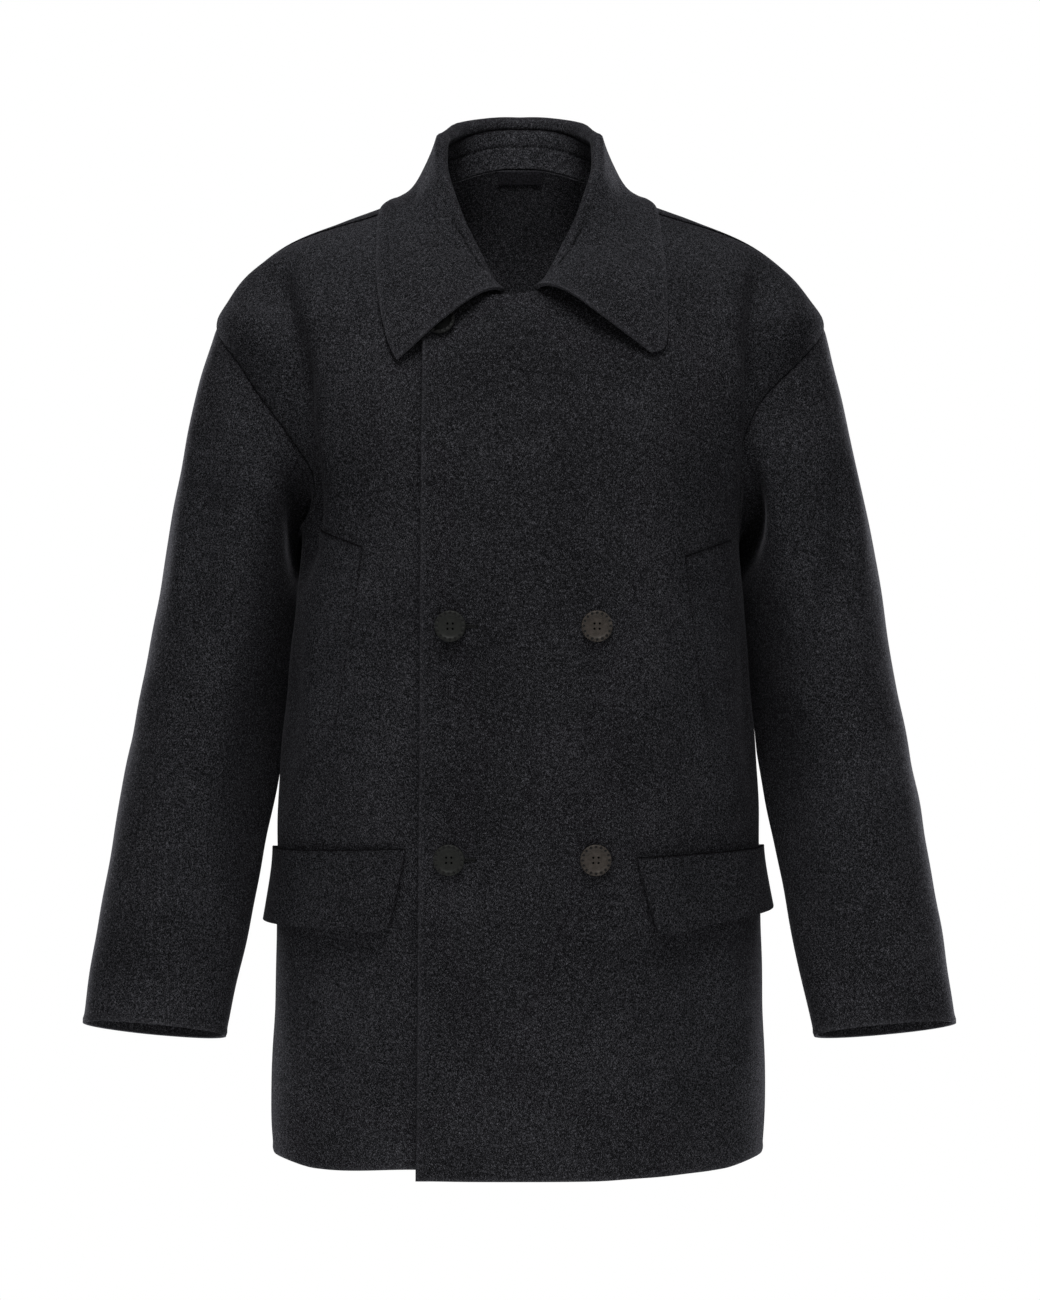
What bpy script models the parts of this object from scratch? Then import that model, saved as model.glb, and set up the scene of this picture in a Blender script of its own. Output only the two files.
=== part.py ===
"""Double-breasted peacoat in heavy melton wool, worn shape with nobody in it.

The coat stands in its own frame in metres: +Z up, +X to the wearer's left, and the
front faces -Y. The origin is the middle of the neck opening, level with the neck end
of the shoulder seams, where the wearer carries the coat.

Every panel is a closed wall of cloth on one shared form. The form is a stack of
horizontal superellipses, and a panel is a grid of (turn, height) pairs on it: turn 0
is the centre front, 90 the wearer's left side, 180 the centre back.
"""
import math

import bmesh
import bpy
import numpy as np
from mathutils import Matrix, Vector

# Cloth and seams
CLOTH = 0.003             # melton with its backing
TRIM_CLOTH = 0.0022       # welts
SEAM_GAP = 0.0003         # between two pieces that are sewn together
LAP_GAP = 0.0014          # between the two fronts where they lie on each other
LAP_RISE = CLOTH + LAP_GAP

# Body: outside of the cloth, from the hem up to the neck
FORM_COLUMNS = ("height", "half_width", "front", "back", "square")
FORM = (
    (-0.8500, 0.2105, 0.1422, 0.1372, 2.50),
    (-0.8250, 0.2130, 0.1440, 0.1390, 2.50),
    (-0.6800, 0.2100, 0.1450, 0.1370, 2.55),
    (-0.5700, 0.2080, 0.1440, 0.1330, 2.60),
    (-0.4870, 0.2060, 0.1430, 0.1310, 2.65),
    (-0.4300, 0.2000, 0.1430, 0.1310, 2.70),
    (-0.3600, 0.1935, 0.1425, 0.1330, 2.70),
    (-0.3050, 0.1900, 0.1410, 0.1350, 2.70),
    (-0.2760, 0.1935, 0.1390, 0.1350, 2.70),
    (-0.2290, 0.2143, 0.1340, 0.1335, 2.65),
    (-0.1910, 0.2338, 0.1270, 0.1300, 2.60),
    (-0.1510, 0.2510, 0.1175, 0.1250, 2.55),
    (-0.1320, 0.2610, 0.1112, 0.1217, 2.50),
    (-0.1180, 0.2620, 0.1065, 0.1195, 2.50),
    (-0.1020, 0.2530, 0.1000, 0.1160, 2.45),
    (-0.0750, 0.2310, 0.0857, 0.1090, 2.40),
    (-0.0540, 0.2010, 0.0700, 0.1030, 2.40),
    (-0.0330, 0.1530, 0.0540, 0.0960, 2.40),
    (-0.0150, 0.1060, 0.0385, 0.0895, 2.40),
    (0.0030, 0.0790, 0.0300, 0.0830, 2.35),
    (0.0230, 0.0665, 0.0250, 0.0752, 2.30),
    (0.0400, 0.0600, 0.0200, 0.0700, 2.30),
)
HEM = -0.837
LAP_HEM_DROP = 0.0085     # the front that lies on top hangs this much lower

# Armhole: where an oval tunnel along X meets the form
ARM_MIDDLE = -0.2145
ARM_HALF_HEIGHT = 0.0905
ARM_FRONT = 0.066
ARM_BACK = 0.070
SHOULDER_SEAM = 0.016     # near the neck the shoulder seam runs this far in front of the ridge
SHOULDER_SEAM_FADE = (0.150, 0.235)

# Neck opening: where an upright oval meets the form
NECK_SIDE = 0.079
NECK_FRONT = 0.1013
NECK_BACK = 0.075
NECK_SQUARE = 2.2

# Front edges and what is fastened on them
EDGE_TOP = (-0.0808, -0.100)      # x, height
EDGE_BOTTOM = (-0.0851, -0.845)
UNDERLAP = 0.080                  # how far the lower front reaches past the centre
LAP_FADE = (0.108, 0.148)         # x where the upper front comes down onto the form
LAP_NECK_FADE = (-0.100, -0.062)  # heights where it comes down to the neck seam
LAP_TOP_DROP = 0.0015             # the overlap ends this far below the neck seam
BUTTON_INSET = 0.0255
BUTTON_SPREAD = 0.1205
BUTTON_ROWS = (-0.386, -0.580)
NECK_BUTTON = (-0.0666, -0.1295)  # x, height
BUTTON_RADIUS = 0.0137
BUTTON_THICK = 0.0042
BUTTON_HOLE_RADIUS = 0.0011
BUTTON_HOLE_OFFSET = 0.0027

# Sleeve sections: the place of the axis and the two half sizes across it
SLEEVE_COLUMNS = ("height", "x", "y", "half_width", "half_depth", "square")
SLEEVE = (
    (-0.3550, 0.2480, 0.0010, 0.0660, 0.0700, 2.25),
    (-0.4200, 0.2595, -0.0010, 0.0655, 0.0670, 2.20),
    (-0.4910, 0.2724, -0.0080, 0.0650, 0.0625, 2.15),
    (-0.5930, 0.2898, -0.0270, 0.0640, 0.0560, 2.10),
    (-0.6780, 0.3038, -0.0450, 0.0630, 0.0490, 2.10),
    (-0.7290, 0.3124, -0.0560, 0.0613, 0.0450, 2.10),
)
SLEEVE_RINGS = (0.25, 0.5, 0.75)          # between the armhole and the first section
SLEEVE_HEIGHTS = (-0.355, -0.400, -0.445, -0.491, -0.545, -0.600, -0.652, -0.700, -0.729)
CUFF_LEVEL = 0.40         # how far the cuff is cut back towards level
SLEEVE_CLEAR = 0.0016     # between a sleeve and the side of the body

# Soft folds of the sleeves, by the turn round the sleeve and the height
FOLD_COLUMNS = ("top_turn", "top_height", "low_turn", "low_height", "half_width", "depth")
SLEEVE_FOLDS = {
    "right": ((62, -0.17, 118, -0.34, 0.017, 0.0080), (38, -0.19, 84, -0.40, 0.015, 0.0040),
              (252, -0.19, 236, -0.38, 0.020, 0.0070), (300, -0.22, 272, -0.44, 0.016, 0.0035),
              (100, -0.47, 62, -0.53, 0.014, 0.0030)),
    "left": ((66, -0.17, 122, -0.33, 0.018, 0.0080), (40, -0.21, 88, -0.42, 0.014, 0.0045),
             (250, -0.20, 238, -0.37, 0.020, 0.0065), (298, -0.23, 268, -0.46, 0.015, 0.0035),
             (104, -0.49, 70, -0.56, 0.014, 0.0028)),
}

# Soft folds of the body, by x and height, on the front (-1) or the back (1)
BODY_FOLD_COLUMNS = ("face", "top_x", "top_height", "low_x", "low_height", "half_width", "depth")
BODY_FOLDS = (
    (-1, 0.205, -0.085, 0.180, -0.270, 0.017, 0.0050),
    (-1, -0.208, -0.085, -0.182, -0.270, 0.017, 0.0050),
    (1, 0.190, -0.100, 0.165, -0.330, 0.020, 0.0050),
    (1, -0.192, -0.100, -0.168, -0.340, 0.020, 0.0050),
    (1, 0.060, -0.520, 0.085, -0.860, 0.030, 0.0050),
    (1, -0.075, -0.560, -0.090, -0.860, 0.028, 0.0045),
)

# Collar: turn from the centre back, height and inward lean of the fold above the neck
# seam, and where the outer edge comes down
COLLAR_COLUMNS = ("turn", "rise", "lean", "edge_x", "edge_y", "edge_z")
COLLAR_LEFT = (
    (0, 0.0440, 0.0050, 0.0000, 0.0950, -0.0120),
    (30, 0.0440, 0.0070, 0.0520, 0.0830, -0.0130),
    (60, 0.0445, 0.0110, 0.0900, 0.0470, -0.0150),
    (90, 0.0440, 0.0140, 0.1050, 0.0020, -0.0200),
    (115, 0.0340, 0.0110, 0.1165, -0.0350, -0.0460),
    (135, 0.0225, 0.0105, 0.1215, -0.0640, -0.0800),
    (150, 0.0135, 0.0100, 0.1240, -0.0840, -0.1190),
    (161, 0.0100, 0.0065, 0.1220, -0.0990, -0.1590),
    (170, 0.0081, 0.0030, 0.1085, -0.1070, -0.1625),
)
COLLAR_RIGHT = (
    (0, 0.0440, 0.0050, 0.0000, 0.0950, -0.0120),
    (30, 0.0440, 0.0070, 0.0520, 0.0830, -0.0130),
    (60, 0.0445, 0.0110, 0.0900, 0.0470, -0.0150),
    (90, 0.0440, 0.0140, 0.1065, 0.0020, -0.0200),
    (115, 0.0340, 0.0110, 0.1170, -0.0350, -0.0460),
    (135, 0.0225, 0.0105, 0.1180, -0.0640, -0.0800),
    (150, 0.0135, 0.0100, 0.1155, -0.0840, -0.1210),
    (161, 0.0100, 0.0065, 0.1085, -0.0990, -0.1580),
    (170, 0.0081, 0.0030, 0.1010, -0.1070, -0.1685),
)
FALL_ROWS = 6
STAND_STEPS = (0.0, 0.37, 0.74, 1.0)   # grid rows up the stand; its seam is at the third
ROLL_RADIUS = 0.0034
COLLAR_LIFT_FRONT = LAP_RISE + CLOTH / 2 + 0.0016
COLLAR_LIFT_BACK = CLOTH / 2 + 0.0032
NECK_BUTTON_LIFT = 0.0052

# Pocket flaps: x at the inner end, y at the outer end, and the four heights
FLAP_COLUMNS = ("inner_top", "inner_low", "outer_y", "z_inner_top", "z_inner_low",
                "z_outer_top", "z_outer_low")
FLAPS = {
    "left": (0.0955, 0.1130, -0.010, -0.5770, -0.6440, -0.5730, -0.6260),
    "right": (0.0945, 0.1080, -0.010, -0.5700, -0.6400, -0.5740, -0.6370),
}
FLAP_STAND_OFF = 0.0070   # how far the lower edge hangs away from the body

# Welts of the hand pockets: x and height of the inner end, top and bottom
WELT_COLUMNS = ("top_x", "top_z", "low_x", "low_z", "width", "slant")
WELTS = {
    "left": (0.1370, -0.3260, 0.1580, -0.4780, 0.040, 0.0150),
    "right": (0.1320, -0.3180, 0.1540, -0.4700, 0.040, 0.0160),
}

# Neck label, on the inside of the back
LABEL_WIDTH = 0.040
LABEL_DROP = 0.0115
LABEL_THICK = 0.0008

COLOURS = {
    "melton": ((0.014, 0.014, 0.016, 1.0), 0.92),
    "horn": ((0.035, 0.031, 0.028, 1.0), 0.45),
    "tape": ((0.006, 0.006, 0.007, 1.0), 0.70),
}


# ---------------------------------------------------------------- small helpers
def smooth(value, low, high):
    """0 below low, 1 above high, and an even rise between."""
    share = np.clip((value - low) / (high - low), 0.0, 1.0)
    return share * share * (3.0 - 2.0 * share)


def table_curve(rows, columns, key, name):
    """A smooth function through one column of a table, read by its key column."""
    order = sorted(rows, key=lambda row: row[columns.index(key)])
    xs = np.array([row[columns.index(key)] for row in order], dtype=float)
    ys = np.array([row[columns.index(name)] for row in order], dtype=float)
    steps = np.diff(xs)
    slopes = np.diff(ys) / steps
    tangents = np.empty_like(ys)
    tangents[0] = slopes[0]
    tangents[-1] = slopes[-1]
    tangents[1:-1] = (slopes[:-1] * steps[1:] + slopes[1:] * steps[:-1]) / (steps[:-1] + steps[1:])

    def read(value):
        value = np.clip(np.asarray(value, dtype=float), xs[0], xs[-1])
        at = np.clip(np.searchsorted(xs, value) - 1, 0, len(steps) - 1)
        s = (value - xs[at]) / steps[at]
        rise = ys[at] * (1 + 2 * s) * (1 - s) ** 2 + ys[at + 1] * s * s * (3 - 2 * s)
        bend = steps[at] * (tangents[at] * s * (1 - s) ** 2 - tangents[at + 1] * s * s * (1 - s))
        return rise + bend

    return read


HALF_WIDTH = table_curve(FORM, FORM_COLUMNS, "height", "half_width")
FRONT = table_curve(FORM, FORM_COLUMNS, "height", "front")
BACK = table_curve(FORM, FORM_COLUMNS, "height", "back")
SQUARE = table_curve(FORM, FORM_COLUMNS, "height", "square")


def form_point(turn, height):
    """The point of the form at a turn in degrees and a height."""
    angle = np.radians(turn)
    across = np.sin(angle)
    along = np.cos(angle)
    power = 2.0 / SQUARE(height)
    depth = np.where(along > 0, FRONT(height), BACK(height))
    x = HALF_WIDTH(height) * np.sign(across) * np.abs(across) ** power
    y = -depth * np.sign(along) * np.abs(along) ** power
    return np.stack([x, y, np.broadcast_to(height, x.shape)], axis=-1)


def form_level(points):
    """1 on the form, less inside it and more outside it."""
    x, y, z = points[..., 0], points[..., 1], points[..., 2]
    n = SQUARE(z)
    depth = np.where(y < 0, FRONT(z), BACK(z))
    total = (np.abs(x) / HALF_WIDTH(z)) ** n + (np.abs(y) / depth) ** n
    return total ** (1.0 / n)


def form_slope(points):
    """The gradient of form_level."""
    step = 1e-5
    parts = []
    for axis in range(3):
        shift = np.zeros(3)
        shift[axis] = step
        parts.append((form_level(points + shift) - form_level(points - shift)) / (2 * step))
    return np.stack(parts, axis=-1)


def form_normal(points):
    slope = form_slope(points)
    return slope / np.linalg.norm(slope, axis=-1, keepdims=True)


def form_distance(points):
    """The distance of points from the form, near it, positive outside."""
    return (form_level(points) - 1.0) / np.linalg.norm(form_slope(points), axis=-1)


def push_clear(points, clearance):
    """Points closer than clearance to the form move straight out to it."""
    moved = points.copy()
    for _ in range(4):
        short = np.clip(clearance - form_distance(moved), 0.0, None)
        moved = moved + form_normal(moved) * short[..., None]
    return moved


def turn_at(x, height, face=-1):
    """The turn of the point at x and a height, on the front or the back."""
    share = np.clip(np.abs(x) / HALF_WIDTH(height), 0.0, 1.0)
    turn = np.degrees(np.arcsin(share ** (SQUARE(height) / 2.0)))
    turn = turn if face < 0 else 180.0 - turn
    return np.sign(x) * turn


def body_fold_depth(points):
    """How far the soft folds of the body press the cloth in."""
    depth = np.zeros(points.shape[:-1])
    for face, top_x, top_z, low_x, low_z, half_width, deep in BODY_FOLDS:
        start = np.array([top_x, top_z])
        run = np.array([low_x, low_z]) - start
        length = np.linalg.norm(run)
        flat = points[..., [0, 2]] - start
        along = flat @ run / length ** 2
        aside = (flat[..., 0] * run[1] - flat[..., 1] * run[0]) / length
        ends = smooth(along, -0.05, 0.35) * (1 - smooth(along, 0.7, 1.08))
        side = smooth(points[..., 1] * face, 0.02, 0.06)
        depth += deep * ends * side * np.exp(-(aside / half_width) ** 2)
    return depth


# ---------------------------------------------------------------- rings and panels
def armhole_ring(angles, grow=0.0):
    """Armhole points by the angle round it: 0 the top, 90 the front, 180 the underarm."""
    angle = np.radians(angles)
    swing = np.sin(angle)
    y = -np.where(swing > 0, ARM_FRONT + grow, ARM_BACK + grow) * swing
    z = ARM_MIDDLE + (ARM_HALF_HEIGHT + grow) * np.cos(angle)
    depth = np.where(y < 0, FRONT(z), BACK(z))
    n = SQUARE(z)
    x = HALF_WIDTH(z) * (1 - (np.abs(y) / depth) ** n) ** (1 / n)
    return np.stack([x, y, z], axis=-1)


def neck_ring(turns, grow=0.0):
    """Neck seam points by the turn round it, 0 the centre front."""
    angle = np.radians(turns)
    across, along = np.sin(angle), np.cos(angle)
    power = 2 / NECK_SQUARE
    x = (NECK_SIDE + grow) * np.sign(across) * np.abs(across) ** power
    reach = np.where(along > 0, NECK_FRONT, NECK_BACK) + grow
    y = -reach * np.sign(along) * np.abs(along) ** power
    low = np.full(x.shape, -0.125)
    high = np.full(x.shape, 0.0399)
    for _ in range(40):
        middle = (low + high) / 2
        inside = form_level(np.stack([x, y, middle], axis=-1)) < 1
        low = np.where(inside, middle, low)
        high = np.where(inside, high, middle)
    return np.stack([x, y, low], axis=-1)


def turn_of(points):
    """The turn of points on the form, 0 to 180."""
    n = SQUARE(points[..., 2])
    depth = np.where(points[..., 1] < 0, FRONT(points[..., 2]), BACK(points[..., 2]))
    across = (np.abs(points[..., 0]) / HALF_WIDTH(points[..., 2])) ** (n / 2)
    along = (np.abs(points[..., 1]) / depth) ** (n / 2) * -np.sign(points[..., 1])
    return np.degrees(np.arctan2(across, along))


FRONT_RING = np.append(np.linspace(180.0, 22.0, 11), 0.0)
BACK_RING = 360.0 - FRONT_RING
SIDE_ROWS = (HEM, -0.820, -0.740, -0.650, -0.560, -0.480, -0.420, -0.370, -0.335)
SHOULDER_ROWS = (-0.108, -0.088, -0.067, -0.045, -0.027, -0.012)
NECK_COLUMNS = 9          # grid columns of each half panel, and of the neck seam above it
SIDE_CROWDING = 1.2       # above 1 the columns lie closer at the side than at the centre
EVENING_ROUNDS = 40       # rounds of evening out the grid between armhole, shoulder and centre


def side_boundary(face):
    """Turns and points up the side of a panel: side seam, armhole, shoulder seam."""
    half_gap = SEAM_GAP / 2 * face
    ring = armhole_ring(FRONT_RING if face < 0 else BACK_RING, SEAM_GAP / 2)
    ring[[0, -1], 1] = half_gap
    sides = np.array(SIDE_ROWS)
    side = np.stack([HALF_WIDTH(sides), np.full(len(sides), half_gap), sides], axis=-1)
    heights = np.array(SHOULDER_ROWS)
    ridge = HALF_WIDTH(heights)
    seam_y = -SHOULDER_SEAM * (1 - smooth(ridge, *SHOULDER_SEAM_FADE))
    n = SQUARE(heights)
    seam_x = ridge * (1 - (np.abs(seam_y) / FRONT(heights)) ** n) ** (1 / n)
    seam = np.stack([seam_x, seam_y + half_gap, heights], axis=-1)
    top = neck_ring(np.array([neck_seam_turn(face)]), SEAM_GAP / 2)
    points = np.concatenate([side, ring, seam, top])
    return turn_of(points), points


def neck_seam_turn(face):
    """The turn round the neck at which the shoulder seam of a panel arrives."""
    return math.degrees(math.acos(((SHOULDER_SEAM - SEAM_GAP / 2 * face) / NECK_FRONT) ** (NECK_SQUARE / 2)))


def half_panel(face):
    """Turns and heights of one half of the front or back, from its centre to its side."""
    turns, points = side_boundary(face)
    heights = points[:, 2]
    centre = 0.0 if face < 0 else 180.0
    shares = np.linspace(0.0, 1.0, NECK_COLUMNS)
    neck = neck_ring(centre + (neck_seam_turn(face) - centre) * shares, SEAM_GAP / 2)
    neck_turn_on_form = turn_of(neck)
    level = len(SIDE_ROWS) - 2
    runs = np.concatenate([[0.0], np.cumsum(np.linalg.norm(np.diff(points, axis=0), axis=1))])
    climb = np.clip((runs - runs[level]) / (runs[-1] - runs[level]), 0.0, 1.0)
    centre_heights = np.where(climb > 0, heights[level] + (neck[0, 2] - heights[level]) * climb, heights)
    blend = climb ** 1.5
    side_share = (turns - centre)[:, None]
    even = 1 - (1 - shares[None, :]) ** SIDE_CROWDING
    at_neck = ((neck_turn_on_form - centre) / (neck_turn_on_form[-1] - centre))[None, :]
    turn = centre + side_share * (even * (1 - blend[:, None]) + at_neck * blend[:, None])
    rise = centre_heights[:, None] + (heights - centre_heights)[:, None] * even ** 1.3
    target = neck[0, 2] + (heights[-1] - neck[0, 2]) * even[0] ** 1.3
    rise = rise + (neck[:, 2] - target)[None, :] * (climb ** 3)[:, None]
    pull = 0.8 * smooth(climb, 0.0, 0.12)[1:-1, None]
    for _ in range(EVENING_ROUNDS):
        for grid in (turn, rise):
            middle = (grid[:-2, 1:-1] + grid[2:, 1:-1] + grid[1:-1, :-2] + grid[1:-1, 2:]) / 4
            grid[1:-1, 1:-1] += (middle - grid[1:-1, 1:-1]) * pull
    return turn, rise


def front_edge(height):
    """x of the edge of the upper front."""
    share = (height - EDGE_TOP[1]) / (EDGE_BOTTOM[1] - EDGE_TOP[1])
    return EDGE_TOP[0] + (EDGE_BOTTOM[0] - EDGE_TOP[0]) * share


def lap_rise(points):
    """How far the upper front lies above the form."""
    return LAP_RISE * (1 - smooth(points[..., 0], *LAP_FADE)) * (1 - smooth(points[..., 2], *LAP_NECK_FADE))


def no_rise(points):
    return 0.0 * points[..., 0]


def quads_between(rows, columns, wrap):
    """Corner numbers of the quads of a grid."""
    spans = columns if wrap else columns - 1
    for i in range(rows - 1):
        for j in range(spans):
            k = (j + 1) % columns
            yield i * columns + j, i * columns + k, (i + 1) * columns + k, (i + 1) * columns + j


def wall(name, outer, inner, material, wrap=False):
    """A closed wall between two grids of points; wrap joins the last column to the first."""
    rows, columns = outer.shape[:2]
    count = rows * columns
    mesh_points = np.concatenate([outer.reshape(-1, 3), inner.reshape(-1, 3)])
    faces = []
    for a, b, c, d in quads_between(rows, columns, wrap):
        faces.append((a, b, c, d))
        faces.append((count + d, count + c, count + b, count + a))
    rim = []
    if wrap:
        rim.append([j for j in range(columns)] + [0])
        rim.append([(rows - 1) * columns + j for j in reversed(range(columns))]
                   + [(rows - 1) * columns + columns - 1])
    else:
        loop = [j for j in range(columns)]
        loop += [i * columns + columns - 1 for i in range(1, rows)]
        loop += [(rows - 1) * columns + j for j in reversed(range(columns - 1))]
        loop += [i * columns for i in reversed(range(rows - 1))]
        rim.append(loop)
    for loop in rim:
        for a, b in zip(loop[:-1], loop[1:]):
            corners = (b, a, count + a, count + b) if a < b else (a, count + a, count + b, b)
            faces += [corners[:3], (corners[0], corners[2], corners[3])]
    return add_mesh(name, mesh_points, faces, material)


def add_mesh(name, points, faces, material):
    mesh = bpy.data.meshes.new(name)
    mesh.from_pydata([tuple(p) for p in points], [], faces)
    shape = bmesh.new()
    shape.from_mesh(mesh)
    bmesh.ops.triangulate(shape, faces=[f for f in shape.faces if len(f.verts) > 3], quad_method="SHORT_EDGE")
    bmesh.ops.recalc_face_normals(shape, faces=shape.faces)
    shape.to_mesh(mesh)
    shape.free()
    mesh.shade_smooth()
    mesh.set_sharp_from_angle(angle=math.radians(40))
    part = bpy.data.objects.new(name, mesh)
    part.data.materials.append(material)
    COAT.objects.link(part)
    return part


def cloth_on_form(name, turn, height, rise, material):
    """A panel: its outer face lies rise above the form, less the soft folds."""
    base = form_point(turn, height)
    normal = form_normal(base)
    out = rise(base) - body_fold_depth(base)
    outer = base + normal * out[..., None]
    inner = base + normal * (out - CLOTH)[..., None]
    wall(name, outer, inner, material)
    return outer, inner


# ---------------------------------------------------------------- pieces of the body
def build_back(material):
    turn, height = half_panel(1)
    turn = np.concatenate([turn[:, ::-1], 360.0 - turn[:, 1:]], axis=1)
    height = np.concatenate([height[:, ::-1], height[:, 1:]], axis=1)
    return cloth_on_form("back", turn, height, no_rise, material)


def build_front(name, side, reach, reach_columns, rise, hem_drop, material):
    """One front: side is 1 for the wearer's left. reach(height) is x past the centre."""
    turn, height = half_panel(-1)
    base_x = np.abs(form_point(turn, height)[..., 0])
    lower = (1 - smooth(height, HEM, HEM + 0.015)) * (1 - smooth(base_x, 0.06, 0.19))
    height = height - hem_drop * lower
    centre_heights = height[:, :1]
    shares = np.linspace(0.0, 1.0, reach_columns + 1)[1:]
    past_x = -reach(centre_heights) * shares[None, :]
    past_height = centre_heights - LAP_TOP_DROP * smooth(centre_heights, -0.16, -0.105) + 0 * past_x
    past_turn = turn_at(past_x, past_height)
    turn = np.concatenate([turn[:, ::-1], past_turn], axis=1) * side
    height = np.concatenate([height[:, ::-1], past_height], axis=1)
    return cloth_on_form(name, turn, height, rise, material)


def patch(name, face, cuts, near, far, away, material):
    """A piece that lies on a panel: the facets of its face inside the cuts, moved out.

    A cut is a point and the direction that is taken off. near and far are how far
    the two sides of the piece lie from the panel, away(point) adds to both.
    """
    rows, columns = face.shape[:2]
    shape = bmesh.new()
    verts = [shape.verts.new(p) for p in face.reshape(-1, 3)]
    for corners in quads_between(rows, columns, False):
        shape.faces.new([verts[k] for k in corners])
    bmesh.ops.triangulate(shape, faces=shape.faces[:], quad_method="SHORT_EDGE")
    for point, direction in cuts:
        geometry = shape.verts[:] + shape.edges[:] + shape.faces[:]
        bmesh.ops.bisect_plane(shape, geom=geometry, plane_co=point, plane_no=direction,
                               clear_outer=True, dist=0.00001)
    bmesh.ops.dissolve_degenerate(shape, edges=shape.edges[:], dist=0.0004)
    bmesh.ops.triangulate(shape, faces=[f for f in shape.faces if len(f.verts) > 3])
    shape.verts.index_update()
    base = np.array([v.co for v in shape.verts])
    normal = form_normal(base)
    more = np.array([away(p) for p in base])
    count = len(base)
    points = np.concatenate([base + normal * (near + more)[:, None], base + normal * (far + more)[:, None]])
    faces = [tuple(v.index for v in f.verts) for f in shape.faces]
    faces += [tuple(count + v.index for v in reversed(f.verts)) for f in shape.faces]
    for edge in shape.edges:
        if edge.is_boundary:
            a, b = (v.index for v in edge.verts)
            faces.append((a, b, count + b, count + a))
    shape.free()
    return add_mesh(name, points, faces, material)


def side_cut(a, b, keep):
    """A cut through two (x, height) points, square to the front, that keeps a third."""
    run = Vector((b[0] - a[0], 0.0, b[1] - a[1]))
    off = Vector((run.z, 0.0, -run.x)).normalized()
    if off.dot(Vector((keep[0] - a[0], 0.0, keep[1] - a[1]))) > 0:
        off = -off
    return Vector((a[0], 0.0, a[1])), off


def build_flap(name, side, face, material):
    inner_top, inner_low, outer_y, z_it, z_il, z_ot, z_ol = FLAPS[name.split("_")[1]]
    middle = (0.16 * side, (z_it + z_ol) / 2)
    wide = 0.206
    cuts = [side_cut((inner_top * side, z_it), (wide * side, z_ot), middle),
            side_cut((inner_low * side, z_il), (wide * side, z_ol), middle),
            side_cut((inner_top * side, z_it), (inner_low * side, z_il), middle),
            (Vector((0.0, outer_y, 0.0)), Vector((0.0, 1.0, 0.0)))]
    away = lambda p: FLAP_STAND_OFF * max(0.0, (z_it - p[2]) / (z_it - z_il)) ** 1.5 * (0.5 + 2.4 * abs(p[0]))
    return patch(name, face, cuts, SEAM_GAP, SEAM_GAP + CLOTH, away, material)


def build_welt(name, side, face, material):
    top_x, top_z, low_x, low_z, width, slant = WELTS[name.split("_")[1]]
    corners = [(top_x, top_z), (top_x + width, top_z + slant),
               (low_x + width, low_z + slant), (low_x, low_z)]
    corners = [(x * side, z) for x, z in corners]
    middle = tuple(np.mean(corners, axis=0))
    cuts = [side_cut(a, b, middle) for a, b in zip(corners, corners[1:] + corners[:1])]
    cuts.append((Vector((0.0, -0.02, 0.0)), Vector((0.0, 1.0, 0.0))))
    return patch(name, face, cuts, SEAM_GAP, SEAM_GAP + TRIM_CLOTH, lambda p: 0.0, material)


def build_label(face, material):
    top = neck_ring(np.array([180.0]))[0, 2] - 0.0012
    cuts = [(Vector((0.0, 0.0, top)), Vector((0.0, 0.0, 1.0))),
            (Vector((0.0, 0.0, top - LABEL_DROP)), Vector((0.0, 0.0, -1.0))),
            (Vector((LABEL_WIDTH / 2, 0.0, 0.0)), Vector((1.0, 0.0, 0.0))),
            (Vector((-LABEL_WIDTH / 2, 0.0, 0.0)), Vector((-1.0, 0.0, 0.0)))]
    return patch("label", face, cuts, -SEAM_GAP, -SEAM_GAP - LABEL_THICK, lambda p: 0.0, material)


# ---------------------------------------------------------------- sleeves
def sleeve_fold_depth(side, turns, heights):
    depth = np.zeros(np.broadcast(turns, heights).shape)
    for top_turn, top_z, low_turn, low_z, half_width, deep in SLEEVE_FOLDS[side]:
        along = (heights - top_z) / (low_z - top_z)
        middle = top_turn + (low_turn - top_turn) * along
        aside = np.radians((turns - middle + 180.0) % 360.0 - 180.0) * 0.066
        ends = smooth(along, -0.1, 0.4) * (1 - smooth(along, 0.65, 1.15))
        depth += deep * ends * np.exp(-(aside / half_width) ** 2)
    return depth


def sleeve_section(turns, height):
    """One ring of the sleeve round its axis."""
    at = {name: table_curve(SLEEVE, SLEEVE_COLUMNS, "height", name) for name in SLEEVE_COLUMNS[1:]}
    centre = np.array([at["x"](height), at["y"](height), height])
    step = 0.01
    above, below = min(height + step, SLEEVE[0][0]), max(height - step, SLEEVE[-1][0])
    axis = np.array([at["x"](below) - at["x"](above), at["y"](below) - at["y"](above), below - above])
    axis /= np.linalg.norm(axis)
    cut_back = CUFF_LEVEL * smooth(-height, 0.6, 0.729)
    plane = axis + np.array([0.0, 0.0, -1.0]) * cut_back * 2
    plane[1] = axis[1] * (1 + cut_back * 2)
    plane /= np.linalg.norm(plane)
    out = np.cross(np.cross(axis, np.array([1.0, 0.0, 0.0])), axis)
    front = np.cross(axis, out)
    angle = np.radians(turns)
    power = 2 / at["square"](height)
    cos, sin = np.cos(angle), np.sin(angle)
    w = at["half_width"](height) * np.sign(cos) * np.abs(cos) ** power
    d = at["half_depth"](height) * np.sign(sin) * np.abs(sin) ** power
    front = front if front[1] < 0 else -front
    ring = centre + w[:, None] * out / np.linalg.norm(out) + d[:, None] * front / np.linalg.norm(front)
    shift = ((ring - centre) @ plane) / (axis @ plane)
    return ring - shift[:, None] * axis, axis


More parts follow.
